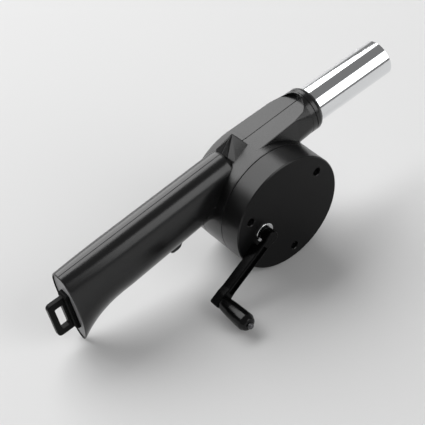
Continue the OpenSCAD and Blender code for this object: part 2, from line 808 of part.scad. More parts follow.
module fan_clip() {
    placed() color(steel) difference() {
        rod(0, 0, clip_r, clip_y, clip_y + clip_t);
        rod(0, 0, pin_r + push_gap, clip_y - 1, clip_y + clip_t + 1);
    }
}

module bush(lip_y0, y0, y1) {
    difference() {
        union() {
            rod(0, 0, bush_out_r, y0, y1);
            rod(0, 0, bush_lip_r, lip_y0, lip_y0 + bush_lip_t);
        }
        rod(0, 0, pin_r + run_gap, y0 - 1, y1 + 1);
    }
}

module front_bush() {
    placed() color(nylon) bush(plate_face - bush_lip_t, plate_face - bush_lip_t,
        chamber_front + post_rise);
}

module rear_bush() {
    placed() color(nylon) bush(rear_boss_y - bush_lip_t, rear_boss_y - bush_lip_t,
        chamber_back - push_gap);
}

// A cross head screw along Y; its head is on the side that face points to
module screw(x, z, y, face, length) {
    translate([x, y, z]) rotate([-90 * face, 0, 0]) difference() {
        union() {
            cylinder(r1 = screw_head_r, r2 = screw_head_r - 0.5, h = screw_head_t);
            translate([0, 0, -length]) cylinder(r = screw_r, h = length + lap);
        }
        for (a = [45, 135]) rotate(a) translate([-1.4, -cross_w / 2, screw_head_t - 0.7])
            cube([2.8, cross_w, 2]);
    }
}

module cover_screws() {
    placed() color(steel) for (at = cover_screws_at)
        screw(at[0], at[1], well_seat, -1, cover_screw_len);
}

module casing_screws() {
    placed() color(steel) for (at = casing_screws_at)
        screw(at[0], at[1], at[2], 1, casing_screw_len);
}

casing_front();
casing_back();
gear_cover();
end_cap();
strap_loop();
outlet_collar();
outlet_tube();
crank_bush();
crank_shaft();
crank_arm();
knob_pin();
crank_knob();
crank_gear();
idler_gear();
idler_pin();
fan_pinion();
fan_shaft();
fan_wheel();
fan_clip();
front_bush();
rear_bush();
cover_screws();
casing_screws();
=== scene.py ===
"""Looks of the hand cranked barbecue blower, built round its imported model.

Sizes are in millimetres in the tool's own frame: +X runs along the tube, -Y points to
the crank and +Z points up, from the fan's axis on the parting plane. ToolFrame leans
that frame onto the table and turns it into metres.
"""

from __future__ import annotations

import json
import logging
import math
from dataclasses import dataclass, field, replace
from enum import Enum
from typing import Any

import bmesh
import bpy
import numpy as np
from mathutils import Matrix, Vector


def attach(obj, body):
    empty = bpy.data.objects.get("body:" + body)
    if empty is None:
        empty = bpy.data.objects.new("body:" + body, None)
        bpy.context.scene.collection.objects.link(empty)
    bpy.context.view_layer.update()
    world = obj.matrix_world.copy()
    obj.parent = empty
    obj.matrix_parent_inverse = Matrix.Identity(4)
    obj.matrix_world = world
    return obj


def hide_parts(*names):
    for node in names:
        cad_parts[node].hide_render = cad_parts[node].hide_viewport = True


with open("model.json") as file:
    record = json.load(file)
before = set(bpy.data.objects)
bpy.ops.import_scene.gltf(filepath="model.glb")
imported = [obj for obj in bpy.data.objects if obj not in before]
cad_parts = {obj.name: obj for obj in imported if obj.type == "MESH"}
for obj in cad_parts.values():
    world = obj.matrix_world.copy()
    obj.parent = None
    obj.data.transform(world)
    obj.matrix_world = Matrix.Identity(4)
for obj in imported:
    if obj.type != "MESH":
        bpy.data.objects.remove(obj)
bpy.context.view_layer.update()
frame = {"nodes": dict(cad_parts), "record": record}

LOG = logging.getLogger("blower")
METRE = 1000.0  # millimetres
WELD = 1e-4  # millimetres within which points are one
SLIVER = 1e-5  # millimetres under which an edge is dropped
Colour = tuple[float, float, float]
Bar = tuple[float, float, float]  # radius, front and back of a round bar along Y


class Side(Enum):
    """Half of the casing, with the sign of Y on its side."""

    FRONT = -1
    BACK = 1


class Axis(Enum):
    """Line that a turned piece is turned round."""

    FAN = "along Y, depth towards the crank"
    TUBE = "along X, depth towards the tube's mouth"


class Cut(Enum):
    """What a tool does to a body."""

    ADD = "UNION"
    TAKE = "DIFFERENCE"


@dataclass(frozen=True)
class ToolFrame:
    """The tool's own frame, leant onto the table.

    Attributes:
        origin: the fan's axis on the parting plane, in metres.
        lean: angle from the table to the tube, in radians.
    """

    origin: tuple[float, float, float]
    lean: float

    @classmethod
    def from_record(cls, record: dict[str, Any]) -> ToolFrame:
        """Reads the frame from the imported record.

        Args:
            record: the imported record.

        Returns:
            The frame that the fan's joint and the tube's mount give.
        """
        fan = next(j for j in record["behaviour"]["joints"] if j["name"] == "fan_spin")
        tube = next(m for m in record["mounts"] if m["name"] == "tube_outside")
        return cls(tuple(fan["pos_m"]), math.atan2(tube["axis"][2], tube["axis"][0]))

    def matrix(self) -> Matrix:
        """Matrix from millimetres in the tool's frame to metres on the table."""
        return Matrix.Translation(self.origin) @ self.turn() @ Matrix.Scale(1 / METRE, 4)

    def turn(self) -> Matrix:
        """Rotation part of the frame."""
        return Matrix.Rotation(-self.lean, 4, "Y")


class Signal:
    """A shader socket that takes part in Python arithmetic."""

    def __init__(self, sheet: NodeSheet, socket: bpy.types.NodeSocket) -> None:
        """Wraps a socket of a node sheet."""
        self.sheet = sheet
        self.socket = socket

    def _maths(self, operation: str, *values: Signal | float) -> Signal:
        """Adds one Math node.

        Args:
            operation: the Math node's operation.
            values: its inputs, in order.

        Returns:
            The node's result.
        """
        node = self.sheet.add("ShaderNodeMath", {"operation": operation}, dict(enumerate(values)))
        return Signal(self.sheet, node.outputs[0])

    def __add__(self, other: Signal | float) -> Signal:
        """Sum."""
        return self._maths("ADD", self, other)

    __radd__ = __add__

    def __sub__(self, other: Signal | float) -> Signal:
        """Difference."""
        return self._maths("SUBTRACT", self, other)

    def __rsub__(self, other: float) -> Signal:
        """Difference from a number."""
        return self._maths("SUBTRACT", other, self)

    def __mul__(self, other: Signal | float) -> Signal:
        """Product."""
        return self._maths("MULTIPLY", self, other)

    __rmul__ = __mul__

    def __abs__(self) -> Signal:
        """Size without its sign."""
        return self._maths("ABSOLUTE", self)

    def smooth(self, low: float, high: float) -> Signal:
        """Smooth step from 0 at low to 1 at high.

        Args:
            low: value where the step starts.
            high: value where the step ends.

        Returns:
            The stepped signal.
        """
        node = self.sheet.add(
            "ShaderNodeMapRange",
            {"interpolation_type": "SMOOTHSTEP"},
            {"Value": self, "From Min": low, "From Max": high},
        )
        return Signal(self.sheet, node.outputs[0])


class NodeSheet:
    """The nodes of one material or of the world."""

    def __init__(self, owner: bpy.types.Material | bpy.types.World) -> None:
        """Empties the owner's node tree.

        Args:
            owner: the material or world whose nodes are written.
        """
        owner.use_nodes = True
        self.tree = owner.node_tree
        self.tree.nodes.clear()

    def add(
        self,
        kind: str,
        settings: dict[str, Any] | None = None,
        inputs: dict[str | int, Any] | None = None,
    ) -> bpy.types.Node:
        """Adds any node.

        Args:
            kind: the node's type.
            settings: its own settings, set first.
            inputs: values, signals or sockets for its inputs, by name or number.

        Returns:
            The node.
        """
        node = self.tree.nodes.new(kind)
        for key, value in (settings or {}).items():
            setattr(node, key, value)
        for key, value in (inputs or {}).items():
            if isinstance(value, Signal):
                value = value.socket
            if isinstance(value, bpy.types.NodeSocket):
                self.tree.links.new(value, node.inputs[key])
            else:
                node.inputs[key].default_value = value
        return node

    def place(
        self,
        scale: tuple[float, float, float] = (1.0, 1.0, 1.0),
        turn: tuple[float, float, float] = (0.0, 0.0, 0.0),
    ) -> Signal:
        """Object coordinates in metres, turned and stretched.

        Args:
            scale: stretch of the pattern along each axis.
            turn: rotation of the pattern, in radians.

        Returns:
            The coordinates.
        """
        source = self.add("ShaderNodeTexCoord")
        node = self.add(
            "ShaderNodeMapping",
            {"vector_type": "POINT"},
            {"Vector": source.outputs["Object"], "Rotation": turn, "Scale": scale},
        )
        return Signal(self, node.outputs[0])

    def noise(
        self, at: Signal, per_metre: float, detail: float = 2.0, distortion: float = 0.0
    ) -> Signal:
        """Cloudy noise from 0 to 1.

        Args:
            at: coordinates.
            per_metre: patches in a metre.
            detail: octaves of finer noise.
            distortion: how far the pattern is pulled about.

        Returns:
            The noise.
        """
        node = self.add(
            "ShaderNodeTexNoise",
            None,
            {"Vector": at, "Scale": per_metre, "Detail": detail, "Distortion": distortion},
        )
        return Signal(self, node.outputs[0])

    def blend(self, share: Signal, low: Colour | Signal, high: Colour | Signal) -> Signal:
        """Mixes two colours.

        Args:
            share: 0 for the low colour, 1 for the high one.
            low: first colour.
            high: second colour.

        Returns:
            The mixed colour.
        """
        node = self.add(
            "ShaderNodeMix",
            {"data_type": "RGBA"},
            {0: share, 6: self._colour(low), 7: self._colour(high)},
        )
        return Signal(self, node.outputs[2])

    @staticmethod
    def _colour(value: Colour | Signal) -> Any:
        """A colour as a Mix node takes it."""
        return value if isinstance(value, Signal) else (*value, 1.0)

    def relief(self, height: Signal, depth_mm: float, under: Signal | None = None) -> Signal:
        """Bump from a height signal.

        Args:
            height: 0 to 1 over the surface.
            depth_mm: depth of the relief in millimetres.
            under: a bumped normal that this relief is laid over.

        Returns:
            The bumped normal.
        """
        inputs = {"Strength": 1.0, "Distance": depth_mm / METRE, "Height": height}
        if under is not None:
            inputs["Normal"] = under
        return Signal(self, self.add("ShaderNodeBump", None, inputs).outputs[0])

    def surface(self, **inputs: Any) -> None:
        """Puts a Principled shader on the output.

        Args:
            inputs: the shader's inputs, with underscores for the spaces in their names.
        """
        named = {key.replace("_", " "): value for key, value in inputs.items()}
        shader = self.add("ShaderNodeBsdfPrincipled", None, named)
        self.add("ShaderNodeOutputMaterial", None, {"Surface": shader.outputs[0]})


def shade(colour: Colour, factor: float) -> Colour:
    """A colour made lighter or darker by a factor."""
    return tuple(channel * factor for channel in colour)


@dataclass(frozen=True)
class MouldedPlastic:
    """Moulded plastic with a fine grain, faint cloudiness and handling marks.

    Attributes:
        name: name of the material.
        slot: slot of the record that it belongs to.
        colour: base colour.
        roughness: roughness between the marks.
        grain_mm: size of the moulded grain.
        grain_depth: depth of the grain in millimetres.
        smudge: how much the roughness wanders.
        shine: specular level of the plastic.
        seam_y: place of a fine moulding seam across Y, in metres.
        grain_rough: how much the roughness wanders with the grain.
        cloud: patches of the cloudiness in a metre, its detail and its distortion.
        cloud_tint: factors of the colour in the dark and in the pale patches.
        marks: patches of the handling marks in a metre, along X, Y and Z.
        marks_turn: rotation of the marks, in radians.
        marks_from: levels of their pattern from which they show, and show fully.
        marks_in: levels of the cloudiness from which they show, and show fully.
        marks_rough: how much rougher the marks are.
        marks_high: how far they stand up, where the grain is 1.
        seam_edge: distances from the seam's middle where it starts to fade and ends, in metres.
        seam_tint: factor of the colour in the seam.
        seam_rough: how much rougher the seam is.
        seam_depth: depth of the seam in millimetres.
    """

    name: str
    slot: str
    colour: Colour
    roughness: float
    grain_mm: float = 0.5
    grain_depth: float = 0.004
    smudge: float = 0.08
    shine: float = 0.4
    seam_y: float | None = None
    grain_rough: float = 0.06
    cloud: tuple[float, float, float] = (38.0, 4.0, 0.6)
    cloud_tint: tuple[float, float] = (0.82, 1.2)
    marks: tuple[float, float, float] = (60.0, 900.0, 900.0)
    marks_turn: tuple[float, float, float] = (0.3, 0.5, 0.2)
    marks_from: tuple[float, float] = (0.66, 0.8)
    marks_in: tuple[float, float] = (0.35, 0.7)
    marks_rough: float = 0.1
    marks_high: float = 0.4
    seam_edge: tuple[float, float] = (0.00012, 0.00034)
    seam_tint: float = 0.15
    seam_rough: float = 0.5
    seam_depth: float = 0.25

    def material(self) -> bpy.types.Material:
        """Builds the material.

        Returns:
            The material.
        """
        material = bpy.data.materials.new(self.name)
        sheet = NodeSheet(material)
        at = sheet.place()
        grain = sheet.noise(at, METRE / self.grain_mm, detail=3.0)
        cloud = sheet.noise(at, *self.cloud)
        marks = sheet.noise(sheet.place(self.marks, self.marks_turn), per_metre=1.0)
        scuffs = marks.smooth(*self.marks_from) * cloud.smooth(*self.marks_in)
        tint = sheet.blend(cloud, *(shade(self.colour, factor) for factor in self.cloud_tint))
        rough = self.roughness + (cloud - 0.5) * self.smudge + scuffs * self.marks_rough
        rough = rough + (grain - 0.5) * self.grain_rough
        normal = sheet.relief(grain + scuffs * self.marks_high, self.grain_depth)
        if self.seam_y is not None:
            parts = sheet.add("ShaderNodeSeparateXYZ", None, {0: at})
            off = abs(Signal(sheet, parts.outputs["Y"]) - self.seam_y)
            clear = off.smooth(*self.seam_edge)
            tint = sheet.blend(clear, shade(self.colour, self.seam_tint), tint)
            rough = rough + (1 - clear) * self.seam_rough
            normal = sheet.relief(clear, self.seam_depth, normal)
        sheet.surface(
            Base_Color=tint, Roughness=rough, Specular_IOR_Level=self.shine, Normal=normal
        )
        return material


@dataclass(frozen=True)
class DrawnMetal:
    """Bright metal with fine lines along or round it and faint finger marks.

    Attributes:
        name: name of the material.
        slot: slot of the record that it belongs to.
        colour: colour of the metal.
        roughness: roughness between the lines.
        lines: patches of the line pattern in a metre, along X, Y and Z.
        turn: rotation of the line pattern, in radians.
        line_depth: depth of the lines in millimetres.
        line_rough: how much the roughness wanders with the lines.
        cloud: patches of the cloudiness in a metre, its detail and its distortion.
        cloud_tint: factors of the colour in the dark and in the pale patches.
        smudge: how much the roughness wanders with the cloudiness.
    """

    name: str
    slot: str
    colour: Colour
    roughness: float
    lines: tuple[float, float, float] = (30.0, 2600.0, 2600.0)
    turn: tuple[float, float, float] = (0.0, 0.0, 0.0)
    line_depth: float = 0.0008
    line_rough: float = 0.05
    cloud: tuple[float, float, float] = (45.0, 4.0, 0.8)
    cloud_tint: tuple[float, float] = (0.95, 1.03)
    smudge: float = 0.06

    def material(self) -> bpy.types.Material:
        """Builds the material.

        Returns:
            The material.
        """
        material = bpy.data.materials.new(self.name)
        sheet = NodeSheet(material)
        line = sheet.noise(sheet.place(self.lines, self.turn), per_metre=1.0, detail=3.0)
        cloud = sheet.noise(sheet.place(), *self.cloud)
        tint = sheet.blend(cloud, *(shade(self.colour, factor) for factor in self.cloud_tint))
        rough = self.roughness + (cloud - 0.5) * self.smudge + (line - 0.5) * self.line_rough
        sheet.surface(
            Base_Color=tint,
            Metallic=1.0,
            Roughness=rough,
            Normal=sheet.relief(line, self.line_depth),
        )
        return material


@dataclass
class Finishes:
    """Every finish of the blower, made once.

    Attributes:
        lean: lean of the tube, for the lines that run along it.
        parting_y: the parting plane's place along Y, in metres.
        made: the materials that were built so far.
    """

    lean: float
    parting_y: float
    made: dict[str, bpy.types.Material] = field(default_factory=dict)

    def catalogue(self) -> dict[str, MouldedPlastic | DrawnMetal]:
        """Lists every finish.

        Returns:
            The finishes by the name that the pieces ask for.
        """
        black, satin = (0.0045, 0.0045, 0.0047), (0.0022, 0.0022, 0.0023)
        fine = (900.0, 900.0, 900.0)
        moulding = MouldedPlastic("collar_plastic", "black_plastic", black, 0.25, 0.55)
        casing = replace(moulding, grain_depth=0.012, smudge=0.1, shine=0.48)
        cover = MouldedPlastic("cover_plastic", "black_plastic", black, 0.3, 0.55, 0.01, shine=0.36)
        cap = MouldedPlastic("cap_plastic", "grey_plastic", (0.28, 0.28, 0.285), 0.5, 0.45, 0.02)
        tube = DrawnMetal("tube_steel", "polished_tube", (0.8, 0.81, 0.82), 0.07, line_depth=0.0003)
        steel = DrawnMetal("plated_steel", "bright_steel", (0.78, 0.79, 0.8), 0.2, fine)
        dark = (0.13, 0.13, 0.135)
        return {
            "casing": replace(casing, name="casing_plastic", seam_y=self.parting_y),
            "casing_plain": casing,
            "cover": cover,
            "cover_face": replace(cover, name="cover_face_plastic", roughness=0.34, shine=0.12),
            "cap": cap,
            "loop": MouldedPlastic("loop_plastic", "black_plastic", satin, 0.36, shine=0.1),
            "satin": MouldedPlastic("crank_plastic", "satin_plastic", satin, 0.28, shine=0.1),
            "knob": MouldedPlastic("knob_plastic", "satin_plastic", satin, 0.17, shine=0.26),
            "tube": replace(tube, lines=(12.0, 2600.0, 2600.0), turn=(0.0, self.lean, 0.0)),
            "steel": steel,
            "dark_steel": replace(steel, name="pin_steel", colour=dark, roughness=0.35),
            "nylon": MouldedPlastic("gear_nylon", "nylon", (0.8, 0.78, 0.72), 0.42, 0.5, 0.006),
            "fan": MouldedPlastic("fan_plastic", "fan_plastic", (0.1, 0.1, 0.105), 0.4, 0.5, 0.006),
        }

    def get(self, name: str) -> bpy.types.Material:
        """The material of a finish, built when first asked for.

        Args:
            name: name of the finish.

        Returns:
            Its material.
        """
        if name not in self.made:
            self.made[name] = self.catalogue()[name].material()
        return self.made[name]

    def slot(self, name: str) -> str:
        """The record's slot of a finish."""
        return self.catalogue()[name].slot


@dataclass
class Skin:
    """A closed surface before it becomes a mesh.

    Attributes:
        points: its points, one row each.
        faces: its faces as lists of point numbers.
    """

    points: np.ndarray
    faces: list[list[int]]

    @classmethod
    def from_grid(cls, grid: np.ndarray, ring_rows: bool = False, capped: bool = True) -> Skin:
        """Closes a grid of points whose columns run round the shape.

        Quad (i, j) joins point (i, j) with its neighbours at i + 1 and j + 1, and the
        last column joins the first.

        Args:
            grid: rows by columns by 3 numbers.
            ring_rows: whether the last row joins the first.
            capped: whether the first and last rows get a flat face.

        Returns:
            The surface.
        """
        rows, cols = grid.shape[:2]
        steps = np.arange(rows if ring_rows else rows - 1)
        i, j = np.meshgrid(steps, np.arange(cols), indexing="ij")
        i1, j1 = (i + 1) % rows, (j + 1) % cols
        quads = np.stack([i * cols + j, i1 * cols + j, i1 * cols + j1, i * cols + j1], -1)
        faces = quads.reshape(-1, 4).tolist()
        if capped:
            faces.append(np.arange(cols)[::-1].tolist())
            faces.append((np.arange(cols) + (rows - 1) * cols).tolist())
        return cls(grid.reshape(-1, 3), faces)

    def repeated(self, turns: np.ndarray) -> Skin:
        """Copies turned round the fan's axis.

        Args:
            turns: angle of each copy, in radians.

        Returns:
            One surface that holds every copy.
        """
        cos, sin = np.cos(turns)[:, None], np.sin(turns)[:, None]
        x, y, z = self.points.T
        moved = np.stack([x * cos + z * sin, y + 0 * cos, z * cos - x * sin], -1)
        count = len(self.points)
        faces = [[n + k * count for n in face] for k in range(len(turns)) for face in self.faces]
        return Skin(moved.reshape(-1, 3), faces)


def rounded(
    corners: list[tuple[float, float, float]], steps: int = 6, closed: bool = True
) -> np.ndarray:
    """An outline with round corners.

    Each corner is replaced by an arc that touches both its sides: the arc's centre
    lies on the bisector, one radius from either side.

    Args:
        corners: place and radius of each corner.
        steps: pieces in each arc.
        closed: whether the last corner joins the first.

    Returns:
        The outline's points.
    """
    path = np.array([c[:2] for c in corners], float)
    out = []
    for i, (x, y, radius) in enumerate(corners):
        here = np.array([x, y])
        ends = not closed and i in (0, len(corners) - 1)
        if radius <= 0 or ends:
            out.append(here[None])
            continue
        back = path[i - 1] - here
        ahead = path[(i + 1) % len(path)] - here
        back, ahead = back / np.linalg.norm(back), ahead / np.linalg.norm(ahead)
        half = math.acos(np.clip(back @ ahead, -1, 1)) / 2
        middle = (back + ahead) / np.linalg.norm(back + ahead)
        centre = here + middle * radius / math.sin(half)
        first = here + back * radius / math.tan(half) - centre
        last = here + ahead * radius / math.tan(half) - centre
        t = np.linspace(0, 1, steps + 1)[:, None]
        swing = math.pi - 2 * half
        arc = np.sin((1 - t) * swing) * first + np.sin(t * swing) * last
        out.append(centre + arc / math.sin(swing))
    return np.concatenate(out)


def lathe(
    profile: np.ndarray,
    centre: tuple[float, float] = (0.0, 0.0),
    axis: Axis = Axis.FAN,
    segments: int = 96,
    ring: bool = False,
) -> Skin:
    """Turns a profile round an axis.

    Point (i, j) is profile point i at the angle 2 pi j / segments.

    Args:
        profile: radius and depth of each point.
        centre: the axis's place across it.
        axis: the line it is turned round.
        segments: steps in a full turn.
        ring: whether the profile's end joins its start.

    Returns:
        The turned surface.
    """
    angle = np.linspace(0, 2 * np.pi, segments, endpoint=False)
    radius, depth = profile[:, :1], profile[:, 1:] + 0 * angle
    across, up = centre[0] + radius * np.cos(angle), centre[1] + radius * np.sin(angle)
    order = (across, -depth, up) if axis is Axis.FAN else (depth, across, up)
    return Skin.from_grid(np.stack(order, -1), ring_rows=ring, capped=False)


def rod(x: float, z: float, radius: float, y0: float, y1: float) -> Skin:
    """A round bar along Y.

    Args:
        x: place of its axis.
        z: height of its axis.
        radius: its radius.
        y0: front end.
        y1: back end.

    Returns:
        The bar.
    """
    profile = [(0, -y1), (radius, -y1), (radius, -y0), (0, -y0)]
    return lathe(np.array(profile), (x, z), segments=48)


def prism(outline: np.ndarray, y0: float, y1: float, edge: float = 0.0, steps: int = 3) -> Skin:
    """A plate in the XZ plane with round edges.

    Each layer is the outline moved inwards by edge (1 - sin a) at the depth
    edge (1 - cos a) from the face, for a from 0 to a quarter turn.

    Args:
        outline: points that run round the plate.
        y0: front face.
        y1: back face.
        edge: radius of its edges.
        steps: pieces in each round edge.

    Returns:
        The plate.
    """
    following = np.roll(outline, -1, 0)
    ahead = following - outline
    ahead /= np.linalg.norm(ahead, axis=1)[:, None]
    back = np.roll(ahead, 1, 0)
    side = np.sign(np.sum(outline[:, 0] * following[:, 1] - following[:, 0] * outline[:, 1]))
    normal = side * np.stack([ahead[:, 1] + back[:, 1], -ahead[:, 0] - back[:, 0]], -1)
    normal /= np.maximum(1.0, np.sum((ahead + back) ** 2, 1)[:, None] / 2)
    angle = np.linspace(0, np.pi / 2, steps + 1) if edge > 0 else np.array([np.pi / 2])
    inset, depth = edge * (1 - np.sin(angle)), edge * (1 - np.cos(angle))
    insets = np.concatenate([inset, inset[::-1]])
    depths = np.concatenate([y0 + depth, (y1 - depth)[::-1]])
    flat = outline[None] - insets[:, None, None] * normal[None]
    grid = np.stack([flat[..., 0], depths[:, None] + 0 * flat[..., 0], flat[..., 1]], -1)
    return Skin.from_grid(grid)


def wrapped(points: np.ndarray, ball: float, rings: int = 7, spokes: int = 12) -> Skin:
    """Smallest convex skin round small balls, which gives flat facets with round edges.

    Args:
        points: middle of each ball.
        ball: radius of the balls.
        rings: rows of points on a ball, with both its poles.
        spokes: points in each row.

    Returns:
        The skin.
    """
    around = np.linspace(0, 2 * np.pi, spokes + 1)[:-1]
    polar, turn = np.meshgrid(np.linspace(0, np.pi, rings), around, indexing="ij")
    unit = np.stack([np.sin(polar) * np.cos(turn), np.sin(polar) * np.sin(turn), np.cos(polar)], -1)
    cloud = (points[:, None] + ball * unit.reshape(1, -1, 3)).reshape(-1, 3)
    mesh = bpy.data.meshes.new("cloud")
    mesh.from_pydata(cloud.tolist(), [], [])
    work = bmesh.new()
    work.from_mesh(mesh)
    bmesh.ops.remove_doubles(work, verts=work.verts, dist=SLIVER)
    found = bmesh.ops.convex_hull(work, input=work.verts)
    inner = set(found["geom_interior"] + found["geom_unused"])
    loose = [item for item in inner if isinstance(item, bmesh.types.BMVert)]
    bmesh.ops.delete(work, geom=loose, context="VERTS")
    work.to_mesh(mesh)
    work.free()
    flat = np.empty(3 * len(mesh.vertices))
    mesh.vertices.foreach_get("co", flat)
    skin = Skin(flat.reshape(-1, 3), [list(face.vertices) for face in mesh.polygons])
    bpy.data.meshes.remove(mesh)
    return skin


def corner_ring(
    half: np.ndarray, height: np.ndarray, radius: np.ndarray, steps: int = 12
) -> np.ndarray:
    """Sections across the duct, each made of four corner arcs.

    The arc of corner k covers the angles from k to k + 1 quarter turns round its own
    centre, which lies one radius inside the section's half width and height.

    Args:
        half: half width at the top and at the bottom, one row for each section.
        height: top and bottom of each section.
        radius: radius of the top and of the bottom corners.
        steps: pieces in each arc.

    Returns:
        Offsets across and up: sections by points by 2.
    """
    angle = (np.arange(4)[:, None] + np.linspace(0, 1, steps + 1)[None]) * np.pi / 2
    level = np.array([0, 0, 1, 1])
    across = np.array([1, -1, -1, 1])
    inward = np.array([-1, -1, 1, 1])
    size = radius[:, level]
    middle_y = across * (half[:, level] - size)
    middle_z = height[:, level] + inward * size
    y = middle_y[..., None] + size[..., None] * np.cos(angle)
    z = middle_z[..., None] + size[..., None] * np.sin(angle)
    return np.stack([y, z], -1).reshape(len(half), -1, 2)


def sections(x: np.ndarray, ring: np.ndarray) -> Skin:
    """Joins sections across the duct into a closed surface.

    Args:
        x: place of each section.
        ring: offsets across and up: sections by points by 2.

    Returns:
        The surface.
    """
    along = x[:, None, None] + 0 * ring[..., :1]
    return Skin.from_grid(np.concatenate([along, ring], -1))


class Workshop:
    """Turns skins into objects, joins them and carves them, all in millimetres."""

    @staticmethod
    def make(name: str, skin: Skin) -> bpy.types.Object:
        """Makes a closed mesh object with its faces outwards.

        Args:
            name: name of the object.
            skin: its surface.

        Returns:
            The object.
        """
        mesh = bpy.data.meshes.new(name)
        mesh.from_pydata(skin.points.tolist(), [], skin.faces)
        work = bmesh.new()
        work.from_mesh(mesh)
        bmesh.ops.remove_doubles(work, verts=work.verts, dist=WELD)
        bmesh.ops.dissolve_degenerate(work, edges=work.edges, dist=SLIVER)
        bmesh.ops.recalc_face_normals(work, faces=work.faces)
        work.to_mesh(mesh)
        work.free()
        thing = bpy.data.objects.new(name, mesh)
        bpy.context.scene.collection.objects.link(thing)
        return thing

    @classmethod
    def carve(cls, body: bpy.types.Object, cut: Cut, *tools: Skin) -> None:
        """Adds tools to a body or takes them away from it.

        Args:
            body: the object that is changed.
            cut: what the tools do.
            tools: surfaces of the tools.
        """
        for tool in tools:
            cls.join(body, cut, cls.make("tool", tool))

    @staticmethod
    def join(body: bpy.types.Object, cut: Cut, other: bpy.types.Object) -> None:
        """Adds another object to a body or takes it away, and removes that object.

        Args:
            body: the object that is changed.
            cut: what the other one does.
            other: the other object.
        """
        step = body.modifiers.new("carve", "BOOLEAN")
        step.operation = cut.value
        step.solver = "MANIFOLD"
        step.object = other
        graph = bpy.context.evaluated_depsgraph_get()
        old, fresh = body.data, bpy.data.meshes.new_from_object(body.evaluated_get(graph))
        if not len(fresh.polygons):
            raise ValueError(f"{body.name}: the cut left nothing")
        body.modifiers.clear()
        body.data = fresh
        bpy.data.meshes.remove(old)
        bpy.data.meshes.remove(other.data)

    @staticmethod
    def shaded(thing: bpy.types.Object, crease_deg: float = 32.0) -> None:
        """Smooths the shading except over edges sharper than the crease angle."""
        thing.data.shade_smooth()
        thing.data.set_sharp_from_angle(angle=math.radians(crease_deg))


@dataclass(frozen=True)
class Layout:
    """Sizes that several sub-assemblies share.

    Attributes:
        drum_r: radius of the fan casing at the parting plane.
        rim_r: radius of the fan casing and of the cover at the gap line.
        seam: depth of the gap line between them.
        face: depth of the cover's face.
        tube_z: height of the tube's axis.
        tube_r: outer radius of the tube.
        neck_end: place where the duct's round neck ends and the collar starts.
        crank: place and height of the crank shaft.
        idler: place and height of the idler pin.
        shaft_bore: radius of the bores that the crank shaft turns in.
        screw_bore: radius of the casing screws' holes.
        screw_length: length of those holes from the screw's head.
    """

    drum_r: float = 41.7
    rim_r: float = 41.3
    seam: float = 19.8
    face: float = 36.0
    tube_z: float = 32.0
    tube_r: float = 12.5
    neck_end: float = 49.2
    crank: tuple[float, float] = (-20.2, -0.7)
    idler: tuple[float, float] = (-8.938, -14.225)
    shaft_bore: float = 3.06
    screw_bore: float = 1.16
    screw_length: float = 14.5


@dataclass
class Bench:
    """What every sub-assembly needs to place and dress its pieces.

    Attributes:
        tool: the tool's frame.
        finishes: the blower's finishes.
        layout: sizes that the sub-assemblies share.
        weld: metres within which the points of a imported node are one.
        crease_deg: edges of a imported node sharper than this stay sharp.
    """

    tool: ToolFrame
    finishes: Finishes
    layout: Layout = Layout()
    weld: float = 1e-6
    crease_deg: float = 30.0

    def finish(self, thing: bpy.types.Object, finish: str, body: str, *nodes: str) -> None:
        """Places a piece, shades it, and dresses it.

        Args:
            thing: the piece, in millimetres.
            finish: name of its finish.
            body: the body that carries it.
            nodes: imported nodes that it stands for.
        """
        thing.data.transform(self.tool.matrix())
        Workshop.shaded(thing)
        thing.data.materials.clear()
        thing.data.materials.append(self.finishes.get(finish))
        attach(thing, body)
        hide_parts(*nodes)
        self.finishes.slot(finish)
        level = thing.modifiers.new("normals", "WEIGHTED_NORMAL")
        level.keep_sharp = True
        LOG.info("%s rides on %s, %d faces", thing.name, body, len(thing.data.polygons))

    def dress(self, node: str, finish: str) -> None:
        """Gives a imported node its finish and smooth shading.

        Args:
            node: name of the node.
            finish: name of its finish.
        """
        thing = frame["nodes"][node]
        thing.data.materials.clear()
        thing.data.materials.append(self.finishes.get(finish))
        thing.data.polygons.foreach_set("use_smooth", [True] * len(thing.data.polygons))
        weld = thing.modifiers.new("weld", "WELD")
        weld.merge_threshold = self.weld
        split = thing.modifiers.new("creases", "EDGE_SPLIT")
        split.split_angle = math.radians(self.crease_deg)


